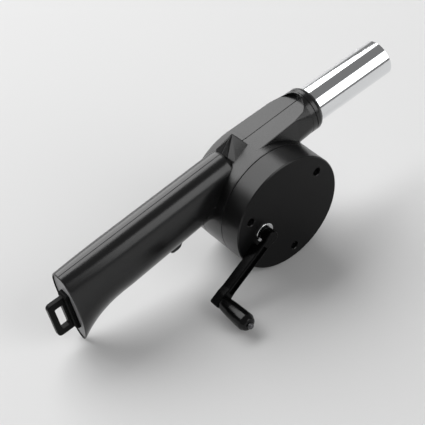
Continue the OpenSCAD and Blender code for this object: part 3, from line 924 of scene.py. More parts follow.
@dataclass(frozen=True)
class HandleForm:
    """Shape of the handle: ovals between a sloping back and a flared underside.

    Attributes:
        end: distance of its far end from the fan's axis.
        back_z: height that its back points to over the fan's axis.
        slope: slope of its back.
        floor_z: height of its underside where floor_x lies.
        floor_x: distance of that place from the fan's axis.
        rise: slope of its underside.
        drop: extra depth of the flared end.
        flare: length of the flared end.
        power: how late the flare starts.
        half: half width at the casing.
        end_half: half width at the far end.
        heel: how much slimmer the flared underside is.
        rim: radius of the edge at the far end.
        shoulder: power of the oval's upper half; 1 is an ellipse, less is squarer.
        edge_run: distance from the far end where the even ovals start.
        root: place where the even ovals end, in the casing.
        taper: place and inset of each oval that closes the root.
        around: points round each oval.
        along: even ovals along the handle.
    """

    end: float = 145.0
    back_z: float = 44.3
    slope: float = 0.0545
    floor_z: float = 2.8
    floor_x: float = 40.0
    rise: float = 0.112
    drop: float = 16.1
    flare: float = 40.0
    power: float = 2.6
    half: float = 12.8
    end_half: float = 13.6
    heel: float = 0.35
    rim: float = 0.9
    shoulder: float = 0.8
    edge_run: float = 3.0
    root: float = -19.0
    taper: tuple[tuple[float, float], ...] = (
        (-17.5, 0.4), (-16.0, 1.4), (-14.5, 3.0), (-13.0, 5.4),
    )
    around: int = 96
    along: int = 60

    def _flared(self, x: np.ndarray) -> np.ndarray:
        """Share of the flare at x: 0 where it starts, 1 at the far end."""
        return np.maximum(0, (-x - self.end + self.flare) / self.flare)

    def floor(self, x: np.ndarray) -> np.ndarray:
        """Height of the underside at x."""
        flared = self.drop * self._flared(x) ** self.power
        return self.floor_z + self.rise * (x + self.floor_x) - flared

    def back(self, x: np.ndarray) -> np.ndarray:
        """Height of the back at x."""
        return self.back_z + self.slope * x

    def loft(self, x: np.ndarray, inset: np.ndarray) -> Skin:
        """A loft of ovals.

        At the angle a the point lies half width times cos a across and half height
        times sin a over the middle. Over the middle both are raised to the power shoulder,
        which squares the oval; under it the section is slimmed where the end flares.

        Args:
            x: place of each oval.
            inset: how far each oval lies inside the handle's skin.

        Returns:
            The loft.
        """
        x, inset = x[:, None], inset[:, None]
        angle = np.linspace(0, 2 * np.pi, self.around + 1)[None, :-1]
        cos, sin = np.cos(angle), np.sin(angle)
        half = self.half + (self.end_half - self.half) * np.clip(-x / self.end, 0, 1)
        slim = 1 - self.heel * self._flared(x) * ((1 - sin) / 2) ** 2
        top, low = self.back(x), self.floor(x)
        power = np.where(sin > 0, self.shoulder, 1.0)
        y = (half - inset) * np.sign(cos) * np.abs(cos) ** power * slim
        z = (top + low) / 2 + ((top - low) / 2 - inset) * np.sign(sin) * np.abs(sin) ** power
        return Skin.from_grid(np.stack([x + 0 * angle, y, z], -1))

    def outside(self) -> Skin:
        """The handle's outside, with a round edge at its far end.

        Returns:
            The outside, closed in the casing by ovals that grow smaller.
        """
        turn = np.linspace(0, np.pi / 2, 6)
        edge_x = -self.end + self.rim * (1 - np.cos(turn))
        even_x = np.linspace(-self.end + self.edge_run, self.root, self.along)
        taper_x, taper_inset = np.transpose(self.taper)
        inset = [self.rim * (1 - np.sin(turn)), np.zeros(self.along), taper_inset]
        return self.loft(np.concatenate([edge_x, even_x, taper_x]), np.concatenate(inset))

    def hollow(self, wall: float, start: float, stop: float, steps: int = 24) -> Skin:
        """Room inside the handle.

        Args:
            wall: how far it lies inside the handle's skin.
            start: place where it starts.
            stop: place where it ends.
            steps: ovals along it.

        Returns:
            The room.
        """
        return self.loft(np.linspace(start, stop, steps), np.full(steps, wall))


@dataclass(frozen=True)
class DuctForm:
    """Shape of the duct: a block on the casing that runs into a round neck.

    Attributes:
        start: place of the block's back face.
        shoulder: place where the block starts to turn into the neck.
        merge: place where it has become the neck.
        half: half width of the block's top at its back and at the shoulder.
        low_half: half width of its underside at its back.
        floor: height of its underside at its back.
        top_edge: radius of its upper edges.
        low_edge: radius of its lower edges.
        flat_z: height of the flat top over the fan's axis.
        flat_slope: slope of the flat top.
        spare: what stands over the flat top before it is cut.
        neck_r: radius of the neck.
        neck_end: place where the neck ends.
        neck_step: how much slimmer the block's end is than the neck.
        spigot: radius and length of the spigot inside the collar.
        arch_gap: distance from the flat's arched end to the neck's end.
    """

    start: float = 0.0
    shoulder: float = 33.3
    merge: float = 46.2
    half: tuple[float, float] = (14.2, 13.1)
    low_half: float = 14.2
    floor: float = 19.6
    top_edge: float = 1.7
    low_edge: float = 2.5
    flat_z: float = 41.4
    flat_slope: float = math.tan(math.radians(2.4))
    spare: float = 0.5
    neck_r: float = 15.2
    neck_end: float = Layout.neck_end
    neck_step: float = 0.1
    spigot: tuple[float, float] = (14.0, 3.0)
    arch_gap: float = 0.8

    def flat(self, x: np.ndarray) -> np.ndarray:
        """Height of the flat top at x."""
        return self.flat_z + self.flat_slope * x

    def block(self, tube_z: float) -> Skin:
        """The block between the casing and the neck.

        Each section is a box with round corners; its width, height and corner radii
        run in straight lines to those of the neck's circle.

        Args:
            tube_z: height of the neck's axis.

        Returns:
            The block.
        """
        end = self.neck_r - self.neck_step
        x = np.concatenate([[self.start], np.linspace(self.shoulder, self.merge, 12)])
        bends, ends = (self.start, self.shoulder, self.merge), (self.start, self.merge)
        top = self.flat(np.array(bends[:2])) + self.spare
        edges = (self.top_edge, self.top_edge, end)
        half = np.interp(x, bends, (*self.half, end)), np.interp(x, ends, (self.low_half, end))
        high, low = (*top, tube_z + end), (self.floor, tube_z - end)
        height = np.interp(x, bends, high), np.interp(x, ends, low)
        radius = np.interp(x, bends, edges), np.interp(x, ends, (self.low_edge, end))
        return sections(x, corner_ring(*(np.stack(pair, -1) for pair in (half, height, radius))))

    def over_flat(self, back: float = -28.0, side: float = 20.0, lead: float = 4.0) -> Skin:
        """Room over the flat top, which ends in an arch: half an ellipse.

        Args:
            back: place where the room starts.
            side: its half width.
            lead: distance from its front corners to the shoulder.

        Returns:
            The room.
        """
        turn = np.linspace(np.pi / 2, -np.pi / 2, 49)
        reach, wide = self.neck_end - self.arch_gap - self.shoulder, self.half[1]
        arch = np.stack([self.shoulder + reach * np.cos(turn), wide * np.sin(turn)], -1)
        corner = self.shoulder - lead
        left = np.array([(back, side), (corner, side), (corner, wide)])
        outline = np.concatenate([left, arch, left[::-1] * (1, -1)])
        low = self.flat(outline[:, 0])
        grid = np.stack([np.column_stack([outline, low]), np.column_stack([outline, low + 30])])
        return Skin.from_grid(grid)


@dataclass(frozen=True)
class AirWay:
    """The room that the air takes from the fan to the tube.

    Attributes:
        start: place where it leaves the fan's room.
        end: place where it meets the tube's seat.
        floor: height of its floor.
        half: half width at its start and at the duct's shoulder.
        edges: radius of its upper and lower edges.
        end_r: radius at its end.
        seat: start, end and radius of the tube's seat.
        flange: start, end and radius of the seat of the tube's flange.
    """

    start: float = 8.0
    end: float = 49.8
    floor: float = 21.8
    half: tuple[float, float] = (12.0, 10.9)
    edges: tuple[float, float] = (0.8, 1.5)
    end_r: float = 11.4
    seat: tuple[float, float, float] = (49.7, 55.0, 12.33)
    flange: tuple[float, float, float] = (49.7, 50.53, 13.23)

    def skin(self, duct: DuctForm, tube_z: float, wall: float) -> Skin:
        """The air's way through the duct.

        Args:
            duct: shape of the duct round it.
            tube_z: height of the tube's axis.
            wall: thickness of the duct's top.

        Returns:
            The room: two boxes with round corners that run into a circle.
        """
        x = np.array([self.start, duct.shoulder, self.end])
        top = duct.flat(x) - wall
        floor = np.array([self.floor, self.floor, tube_z - self.end_r])
        half = np.repeat([*self.half, self.end_r], 2).reshape(3, 2)
        radius = np.array([self.edges, self.edges, (top[2] - tube_z, self.end_r)])
        return sections(x, corner_ring(half, np.stack([top, floor], -1), radius))


@dataclass
class Casing:
    """Two moulded halves that hold the fan, the duct and the handle.

    Attributes:
        bench: places and dresses the pieces.
        form: shape of the handle.
        duct: shape of the duct.
        air: the air's way through it.
        back_y: back face of the casing.
        back_edge: radius of its back edge.
        front_edge: points of its front edge: radius over the rim, distance behind the seam.
        wall: thickness of the walls.
        chamber: front and back of the fan's room.
        gear_room: radius, front and back of the gears' room.
        handle_room: ends of the handle's hollow.
        cap_room: ends of the wider room that takes the end cap.
        parting: gap between each half and the parting plane.
        crest: corners of the crest's front half, which is flat between them.
        crest_ball: radius of its edges.
        hook_x: place of the hook.
        hook: its outline from that place on the handle's underside, with corner radii.
        hook_half: half its thickness.
        hook_edge: radius of its edges.
        tongue_deg: angle at which the spiral wall starts.
        scroll_r: its inner radius at both ends.
        scroll_wall: its thickness.
        scroll_deg: angle that it covers.
        spigot: inner and outer radius of the ring that the cover fits over.
        spigot_reach: distance from the seam back to its start and on to its end.
        screw_x: places of the screws along the handle.
        screw_seat: depth of their heads' seats, and radius of their bosses.
        tongue_screw: its radius, angle, head seat and boss radius.
        head_r: radius of the screw heads' wells.
        boss_end: where the front half's bosses end, and the back half's at handle and tongue.
        front_bosses: bosses on the crank's, the idler's and the fan's axis in front.
        front_bores: the bores through them.
        rear_boss: boss on the fan's axis in the back half.
        rear_bore: the bore through it.
        slot_half: half width of the inlet slots.
        slot_rings: number, inner and outer radius of each ring of slots.
        slot_y: front and back of the tool that cuts them.
    """

    bench: Bench
    form: HandleForm = HandleForm()
    duct: DuctForm = DuctForm()
    air: AirWay = AirWay()
    back_y: float = 14.6
    back_edge: float = 2.0
    front_edge: tuple[tuple[float, float], ...] = (
        (0.06, 2.0), (0.02, 0.45), (-0.1, 0.15), (-0.4, 0.0),
    )
    wall: float = 2.2
    chamber: tuple[float, float] = (-14.0, 12.4)
    gear_room: Bar = (37.1, -37.0, -16.4)
    handle_room: tuple[float, float] = (-141.9, -44.5)
    cap_room: tuple[float, float] = (-146.0, -141.8)
    parting: float = 0.02
    crest: tuple[tuple[float, float, float], ...] = (
        (0.2, 5.6, 40.6), (-14.0, 8.6, 38.4), (-16.8, 6.4, 37.5),
        (-16.6, 5.4, 42.8), (-9.8, 0.3, 49.7), (-6.7, 0.3, 51.9),
    )
    crest_ball: float = 0.35
    hook_x: float = -66.0
    hook: tuple[tuple[float, float, float], ...] = (
        (7.4, 1.6, 0), (5.6, -1.8, 3), (3.4, -5.2, 2), (1.0, -6.2, 1), (-2.8, -6.2, 1),
        (-4.6, -5.0, 0.6), (-4.0, -3.8, 0.5), (-1.8, -3.0, 0.8), (-1.2, 1.6, 0),
    )
    hook_half: float = 2.4
    hook_edge: float = 0.4
    tongue_deg: float = 32.0
    scroll_r: tuple[float, float] = (35.3, 40.0)
    scroll_wall: float = 1.4
    scroll_deg: float = 300.0
    spigot: tuple[float, float] = (37.1, 39.1)
    spigot_reach: tuple[float, float] = (0.5, 2.0)
    screw_x: tuple[float, ...] = (-124.0, -84.0, -52.0)
    screw_seat: tuple[float, float] = (7.0, 3.5)
    tongue_screw: tuple[float, float, float, float] = (37.2, 13.0, 11.0, 3.2)
    head_r: float = 2.4
    boss_end: tuple[float, float, float] = (-12.1, 12.1, 12.9)
    front_bosses: tuple[Bar, ...] = (
        (4.6, -17.2, -12.2), (3.0, -17.2, -12.2), (4.8, -14.5, -12.2),
    )
    front_bores: tuple[Bar, ...] = (
        (Layout.shaft_bore, -18.4, -13.0), (1.53, -18.4, -13.0), (3.03, -18.4, -11.2),
    )
    rear_boss: Bar = (4.8, 7.4, 12.9)
    rear_bore: Bar = (3.03, 6.4, 12.4)
    slot_half: float = 1.1
    slot_rings: tuple[tuple[int, float, float], ...] = ((12, 7.4, 13.0), (22, 15.0, 21.5))
    slot_y: tuple[float, float] = (11.4, 16.4)

    @property
    def layout(self) -> Layout:
        """The sizes shared with the other sub-assemblies."""
        return self.bench.layout

    def build(self) -> None:
        """Builds both halves."""
        outside = self._outside()
        for side in Side:
            self._half(side, outside)
        bpy.data.meshes.remove(outside.data)

    def _drum(self) -> Skin:
        """The round casing, with a round back edge and a slight draft.

        Returns:
            The casing, turned round the fan's axis.
        """
        drum_r, edge = self.layout.drum_r, self.back_edge
        turn = np.linspace(0, np.pi / 2, 9)
        back_r, depth = drum_r - edge + edge * np.sin(turn), edge - edge * np.cos(turn)
        back = np.stack([back_r, depth - self.back_y], -1)
        front = np.array(self.front_edge) * (1, -1) + (self.layout.rim_r, self.layout.seam)
        profile = [[(0, -self.back_y)], back, [(drum_r, 0)], front, [(0, self.layout.seam)]]
        return lathe(np.concatenate(profile), segments=256)

    def _duct(self) -> bpy.types.Object:
        """The duct, from its block on the casing to the round neck, with its flat top.

        Returns:
            The duct.
        """
        form = self.duct
        duct = Workshop.make("duct", form.block(self.layout.tube_z))
        neck = self._bar_x(form.merge - 0.4, form.neck_end, form.neck_r)
        radius, length = form.spigot
        spigot = self._bar_x(form.neck_end - 1, form.neck_end + length, radius)
        Workshop.carve(duct, Cut.ADD, neck)
        Workshop.carve(duct, Cut.TAKE, form.over_flat())
        Workshop.carve(duct, Cut.ADD, spigot)
        return duct

    def _bar_x(self, x0: float, x1: float, radius: float) -> Skin:
        """A round bar on the tube's axis, from x0 to x1."""
        profile = np.array([(0, x0), (radius, x0), (radius, x1), (0, x1)])
        return lathe(profile, (0.0, self.layout.tube_z), Axis.TUBE, segments=128)

    def _crest(self) -> bpy.types.Object:
        """The beak between handle and duct: flat facets that meet in a short sharp ridge.

        Returns:
            The crest.
        """
        half = np.array(self.crest)
        both = np.concatenate([half, half * (1, -1, 1)])
        return Workshop.make("crest", wrapped(both, self.crest_ball))

    def _hook(self) -> Skin:
        """The small hook moulded under the handle.

        Returns:
            The hook.
        """
        place = (self.hook_x, float(self.form.floor(np.array(self.hook_x))), 0)
        outline = [tuple(corner) for corner in np.array(self.hook) + place]
        return prism(rounded(outline), -self.hook_half, self.hook_half, self.hook_edge)

    def _outside(self) -> bpy.types.Object:
        """The outside of both halves together.

        Returns:
            Drum, handle, hook, duct and crest as one body.
        """
        body = Workshop.make("casing_outside", self._drum())
        Workshop.carve(body, Cut.ADD, self.form.outside(), self._hook())
        for part in (self._duct(), self._crest()):
            Workshop.join(body, Cut.ADD, part)
        return body

    def _inside(self) -> list[Skin]:
        """The rooms inside.

        Returns:
            Rooms for the fan, the gears, the air, the tube, the handle's hollow and the cap.
        """
        return [
            rod(0, 0, self.layout.drum_r - self.wall, *self.chamber),
            rod(0, 0, *self.gear_room),
            self.air.skin(self.duct, self.layout.tube_z, self.wall),
            self._bar_x(*self.air.seat),
            self._bar_x(*self.air.flange),
            self.form.hollow(self.wall, *self.handle_room),
            self.form.hollow(self.wall / 2, *self.cap_room),
        ]

    def _scroll(self, y0: float, y1: float) -> Skin:
        """The spiral wall: its radius grows evenly with the angle from the tongue.

        Args:
            y0: front of the wall.
            y1: back of the wall.

        Returns:
            The wall.
        """
        share = np.linspace(0, 1, 61)
        angle = np.radians(self.tongue_deg - self.scroll_deg * share)
        start, end = self.scroll_r
        inner = (start + (end - start) * share)[:, None]
        ray = np.stack([np.cos(angle), np.sin(angle)], -1)
        outer = (inner + self.scroll_wall) * ray
        return prism(np.concatenate([inner * ray, outer[::-1]]), y0, y1)

    def _screws(self) -> list[tuple[float, float, float, float]]:
        """The casing's screws.

        Returns:
            Place, height, head seat and boss radius of each.
        """
        along = np.array(self.screw_x)
        middle = (self.form.back(along) + self.form.floor(along)) / 2
        radius, degrees, *tongue = self.tongue_screw
        turn = math.radians(degrees)
        handle = [(x, z, *self.screw_seat) for x, z in zip(along, middle)]
        return [*handle, (radius * math.cos(turn), radius * math.sin(turn), *tongue)]

    def _half(self, side: Side, outside: bpy.types.Object) -> None:
        """Cuts one half out of the outside and works its inside.

        Args:
            side: which half.
            outside: the outside of both halves.
        """
        name = f"casing_{side.name.lower()}"
        half = bpy.data.objects.new(f"{name}_moulding", outside.data.copy())
        bpy.context.scene.collection.objects.link(half)
        far = 400.0
        square = np.array([(-far, -far), (far, -far), (far, far), (-far, far)])
        edges = sorted((-side.value * far, side.value * self.parting))
        Workshop.carve(half, Cut.TAKE, prism(square, *edges), *self._inside())
        if side is Side.FRONT:
            self._front(half)
        else:
            self._back(half)
        self.bench.finish(half, "casing", "housing", name)

    def _front(self, half: bpy.types.Object) -> None:
        """Adds the scroll, the spigot and the bearing bosses to the front half.

        Args:
            half: the front half.
        """
        layout, (inner, outer) = self.layout, self.spigot
        low, high = layout.seam - self.spigot_reach[0], layout.seam + self.spigot_reach[1]
        ring = np.array([(inner, low), (outer, low), (outer, high), (inner, high)])
        scroll = self._scroll(self.chamber[0] - 0.5, -self.parting)
        Workshop.carve(half, Cut.ADD, scroll, lathe(ring, segments=160, ring=True))
        axes = layout.crank, layout.idler, (0.0, 0.0)
        bosses = [rod(*axis, *bar) for axis, bar in zip(axes, self.front_bosses)]
        bosses += [rod(x, z, r, self.boss_end[0], -self.parting) for x, z, _, r in self._screws()]
        Workshop.carve(half, Cut.ADD, *bosses)
        bore, length = layout.screw_bore, layout.screw_length
        bores = [rod(*axis, *bar) for axis, bar in zip(axes, self.front_bores)]
        bores += [rod(x, z, bore, seat - length, 1) for x, z, seat, _ in self._screws()]
        Workshop.carve(half, Cut.TAKE, *bores)

    def _back(self, half: bpy.types.Object) -> None:
        """Adds the scroll and bosses to the back half, its air inlet and screw holes.

        Args:
            half: the back half.
        """
        _, handle_end, tongue_end = self.boss_end
        scroll = self._scroll(self.parting, self.chamber[1] + 0.5)
        Workshop.carve(half, Cut.ADD, scroll, rod(0, 0, *self.rear_boss))
        for x, z, _, radius in self._screws():
            end = handle_end if x < 0 else tongue_end
            Workshop.carve(half, Cut.ADD, rod(x, z, radius, self.parting, end))
        slots = [self._slots(*ring) for ring in self.slot_rings]
        Workshop.carve(half, Cut.TAKE, rod(0, 0, *self.rear_bore), *slots)
        for x, z, seat, _ in self._screws():
            shank = rod(x, z, self.layout.screw_bore, -1, seat + 1)
            Workshop.carve(half, Cut.TAKE, shank, rod(x, z, self.head_r, seat, self.back_y + 1.4))

    def _slots(self, count: int, inner: float, outer: float) -> Skin:
        """A ring of round ended inlet slots.

        Args:
            count: number of slots.
            inner: radius where they start.
            outer: radius where they end.

        Returns:
            The tool that cuts them.
        """
        wide, corner = self.slot_half, self.slot_half - 0.05
        box = [(inner, -wide), (outer, -wide), (outer, wide), (inner, wide)]
        one = prism(rounded([(*point, corner) for point in box]), *self.slot_y)
        return one.repeated(np.linspace(0, 2 * np.pi, count + 1)[:-1])


@dataclass
class GearCover:
    """The round cover over the gears, with its screw wells and the screws.

    Attributes:
        bench: places and dresses the pieces.
        wall: thickness of its walls.
        bevel: bevel round the face.
        edge: radius of the bevel's edges.
        lip: chamfer at the gap line.
        ring_r: radius of the ring of screws.
        first_deg: angle of the first screw.
        well: radius and seat of the screw wells.
        well_wall: thickness of the wells' walls.
        chamfer: chamfer at the wells' mouths.
        well_end, idler_end, crank_end: back of the bosses.
        crank_r, idler_r: radius of the crank's and the idler's boss.
        shank: radius, front and back of the screws' holes.
        crank_bore, idler_bore: radius, front and back.
        matt_skin: how far under the face the matt finish reaches.
    """

    bench: Bench
    wall: float = 2.0
    bevel: float = 0.7
    edge: float = 0.3
    lip: float = 0.4
    ring_r: float = 32.1
    first_deg: float = 32.0
    well: tuple[float, float] = (2.9, -30.4)
    well_wall: float = 1.3
    chamfer: float = 0.35
    well_end: float = -28.6
    idler_end: float = -28.6
    crank_end: float = -30.4
    crank_r: float = 6.4
    idler_r: float = 3.2
    shank: Bar = (1.16, -31.4, -27.6)
    crank_bore: Bar = (4.63, -37.0, -29.4)
    idler_bore: Bar = (1.53, -34.0, -27.2)
    matt_skin: float = 0.1

    def build(self) -> None:
        """Builds the cover and dresses its screws."""
        layout = self.bench.layout
        cover = Workshop.make("gear_cover_moulding", lathe(self._profile(), segments=256))
        angle = np.radians(self.first_deg + 120 * np.arange(3))
        at = self.ring_r * np.stack([np.cos(angle), np.sin(angle)], -1)
        front = -layout.face + self.wall - 0.5
        wells = [rod(x, z, self.well[0] + self.well_wall, front, self.well_end) for x, z in at]
        bosses = [
            rod(*layout.crank, self.crank_r, front, self.crank_end),
            rod(*layout.idler, self.idler_r, front, self.idler_end),
        ]
        Workshop.carve(cover, Cut.ADD, *wells, *bosses)
        for x, z in at:
            Workshop.carve(cover, Cut.TAKE, self._well(x, z), rod(x, z, *self.shank))
        bores = rod(*layout.crank, *self.crank_bore), rod(*layout.idler, *self.idler_bore)
        Workshop.carve(cover, Cut.TAKE, *bores)
        self.bench.finish(cover, "cover", "housing", "gear_cover")
        self._matt_face(cover)
        self.bench.dress("cover_screws", "steel")

    def _profile(self) -> np.ndarray:
        """The cover's section.

        Returns:
            Radius and depth of its points, from the middle of the face and back inside.
        """
        radius, seam, face = self.bench.layout.rim_r, self.bench.layout.seam, self.bench.layout.face
        inner = radius - self.wall
        return rounded([
            (0, face, 0),
            (radius - self.bevel, face, self.edge),
            (radius, face - self.bevel, self.edge),
            (radius, seam + self.lip, 0.2),
            (radius - self.lip, seam, 0.1),
            (inner, seam, 0.1),
            (inner, face - self.wall, 0),
            (0, face - self.wall, 0),
        ], closed=False)

    def _matt_face(self, cover: bpy.types.Object) -> None:
        """Gives the flat face its matt finish; the bevel and the side stay glossy.

        Args:
            cover: the cover, placed in the frame.
        """
        cover.data.materials.append(self.bench.finishes.get("cover_face"))
        front = self.bench.tool.origin[1] - (self.bench.layout.face - self.matt_skin) / METRE
        for face in cover.data.polygons:
            face.material_index = int(face.normal.y < -0.99 and face.center.y < front)

    def _well(self, x: float, z: float) -> Skin:
        """A screw well with a fine chamfer at its mouth.

        Args:
            x: place of its axis.
            z: height of its axis.

        Returns:
            The tool that cuts it.
        """
        (radius, seat), face = self.well, self.bench.layout.face
        mouth, over = radius + self.chamfer, face + 1.5
        profile = np.array([
            (0, -seat),
            (radius, -seat),
            (radius, face - self.chamfer),
            (mouth, face),
            (mouth, over),
            (0, over),
        ])
        return lathe(profile, (x, z), segments=64)


@dataclass
class HandleEnd:
    """End cap and strap loop.

    Attributes:
        bench: places and dresses the pieces.
        form: shape of the handle.
        face_x: outer face of the cap.
        thick: thickness of the cap.
        cap_edge: radius of the cap's edge.
        cap_inset: how far the cap lies inside the handle's skin.
        loop_z: height of the loop's middle.
        tongue: width and height of the loop's tongue.
        tongue_end: how far the tongue reaches into the handle.
        plate: thickness, half height and half width of the loop's base plate.
        plate_bevel: bevel of the base plate.
        reach: how far the loop stands out from its base plate.
        bar: width of its outer bar.
        half: half its height.
        slot: half the height of its slot.
        slot_back: how far the slot stays off the base plate's face.
        loop_half: half its thickness.
    """

    bench: Bench
    form: HandleForm = HandleForm()
    face_x: float = -144.2
    thick: float = 2.4
    cap_edge: float = 0.35
    cap_inset: float = 1.22
    loop_z: float = 6.0
    tongue: tuple[float, float] = (4.0, 18.0)
    tongue_end: float = 5.0
    plate: tuple[float, float, float] = (3.4, 15.4, 4.2)
    plate_bevel: float = 1.6
    reach: float = 11.4
    bar: float = 3.9
    half: float = 14.3
    slot: float = 9.4
    slot_back: float = 2.0
    loop_half: float = 1.8

    def build(self) -> None:
        """Builds both pieces."""
        self._cap()
        self._loop()

    def _cap(self) -> None:
        """Builds the cap, with the slot that takes the loop's tongue."""
        turn = np.linspace(0, np.pi / 2, 5)
        inner = self.face_x + self.thick
        x = np.concatenate([self.face_x + self.cap_edge * (1 - np.cos(turn)), [inner]])
        inset = np.concatenate([self.cap_edge * (1 - np.sin(turn)), [0.0]]) + self.cap_inset
        cap = Workshop.make("end_cap_moulding", self.form.loft(x, inset))
        wide, tall = (size + 0.06 for size in self.tongue)
        Workshop.carve(cap, Cut.TAKE, self._block(self.face_x - 1, inner + 1, wide, tall, 0))
        self.bench.finish(cap, "cap", "housing", "end_cap")

    def _block(self, x0: float, x1: float, wide: float, tall: float, edge: float) -> Skin:
        """A block across the handle's end.

        Args:
            x0: its outer end.
            x1: its inner end.
            wide: its width along Y.
            tall: its height along Z.
            edge: radius of its side edges.

        Returns:
            The block.
        """
        low, high = self.loop_z - tall / 2, self.loop_z + tall / 2
        outline = np.array([(x0, low), (x1, low), (x1, high), (x0, high)])
        return prism(outline, -wide / 2, wide / 2, edge)

    def _frame_line(
        self, x0: float, x1: float, half: float, outer: float, inner: float, steps: int = 6
    ) -> np.ndarray:
        """A box round the loop's middle, with round corners.

        Args:
            x0: its outer side.
            x1: its inner side.
            half: half its height.
            outer: radius of its outer corners.
            inner: radius of its inner corners.
            steps: pieces in each corner.

        Returns:
            The outline.
        """
        low, high = self.loop_z - half, self.loop_z + half
        corners = [(x0, low, outer), (x1, low, inner), (x1, high, inner), (x0, high, outer)]
        return rounded(corners, steps)

    def _loop(self) -> None:
        """Builds the loop on its base plate, which the cap's slot holds."""
        thick, plate_half, plate_wide = self.plate
        inner = self.face_x - thick
        outer = inner - self.reach
        low, high, bevel = self.loop_z - plate_half, self.loop_z + plate_half, self.plate_bevel
        plate = rounded([
            (inner, low + bevel, 0.8),
            (inner + bevel, low, 0.5),
            (self.face_x, low, 0),
            (self.face_x, high, 0),
            (inner + bevel, high, 0.5),
            (inner, high - bevel, 0.8),
        ])
        loop = Workshop.make("strap_loop_moulding", prism(plate, -plate_wide, plate_wide, 0.6))
        ring = self._frame_line(outer, inner + 0.8, self.half, 3, 0, 10)
        hole = self._frame_line(outer + self.bar, inner - self.slot_back, self.slot, 0.9, 0.9)
        tongue = self._block(self.face_x - 0.5, self.face_x + self.tongue_end, *self.tongue, 0.3)
        Workshop.carve(loop, Cut.ADD, prism(ring, -self.loop_half, self.loop_half, 0.55, 5), tongue)
        Workshop.carve(loop, Cut.TAKE, prism(hole, -3.0, 3.0))
        self.bench.finish(loop, "loop", "housing", "strap_loop")


@dataclass
class Outlet:
    """Collar and steel tube.

    Attributes:
        bench: places and dresses the pieces.
        start: inner end of the tube.
        step: place where its thinner seat ends.
        end: its mouth.
        wall: its wall.
        seat: how much slimmer it is in its seat.
        flange: height and length of the flange at its inner end.
        mouth: radius of the edges of its mouth.
        wide: width of the collar.
        collar_r: radius of the collar.
        recess: radius and end of the room that the collar has for the neck's spigot.
    """

    bench: Bench
    start: float = 49.7
    step: float = 55.6
    end: float = 118.0
    wall: float = 0.7
    seat: float = 0.2
    flange: tuple[float, float] = (0.7, 0.8)
    mouth: float = 0.25
    wide: float = 6.0
    collar_r: float = 15.2
    recess: tuple[float, float] = (14.1, 3.1)

    def build(self) -> None:
        """Builds both pieces."""
        self._turned("tube_metal", self._tube(), "tube", "outlet_tube")
        self._turned("collar_moulding", self._collar(), "casing_plain", "outlet_collar")

    def _tube(self) -> np.ndarray:
        """The tube's wall in section.

        Returns:
            Radius and place along the tube of its points, all the way round.
        """
        radius, start, (rise, length) = self.bench.layout.tube_r, self.start, self.flange
        bore, seat, flange = radius - self.wall, radius - self.seat, start + length
        return rounded([
            (bore, start, 0.1),
            (radius + rise, start, 0.2),
            (radius + rise, flange, 0.1),
            (seat, flange, 0.1),
            (seat, self.step, 0.05),
            (radius, self.step, 0.15),
            (radius, self.end, self.mouth),
            (bore, self.end, self.mouth),
        ])

    def _collar(self) -> np.ndarray:
        """The collar in section.

        Returns:
            Radius and place along the tube of its points, all the way round.
        """
        layout, radius, (recess_r, recess_x) = self.bench.layout, self.collar_r, self.recess
        bore, at = layout.tube_r + 0.03, layout.neck_end
        front = at + self.wide
        return rounded([
            (bore, at + recess_x, 0),
            (recess_r, at + recess_x, 0.1),
            (recess_r, at + 0.1, 0.1),
            (radius - 0.5, at + 0.1, 0),
            (radius, at + 0.6, 0.3),
            (radius, front - 3, 2),
            (radius - 0.5, front - 1.6, 1.5),
            (radius - 1.9, front, 0.4),
            (bore, front, 0.1),
        ])

    def _turned(self, name: str, profile: np.ndarray, finish: str, node: str) -> None:
        """Turns a closed profile round the tube's axis and dresses it.

        Args:
            name: name of the piece.
            profile: radius and place along the tube of its points.
            finish: name of its finish.
            node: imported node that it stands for.
        """
        centre = (0.0, self.bench.layout.tube_z)
        skin = lathe(profile, centre, Axis.TUBE, segments=192, ring=True)
        self.bench.finish(Workshop.make(name, skin), finish, "housing", node)


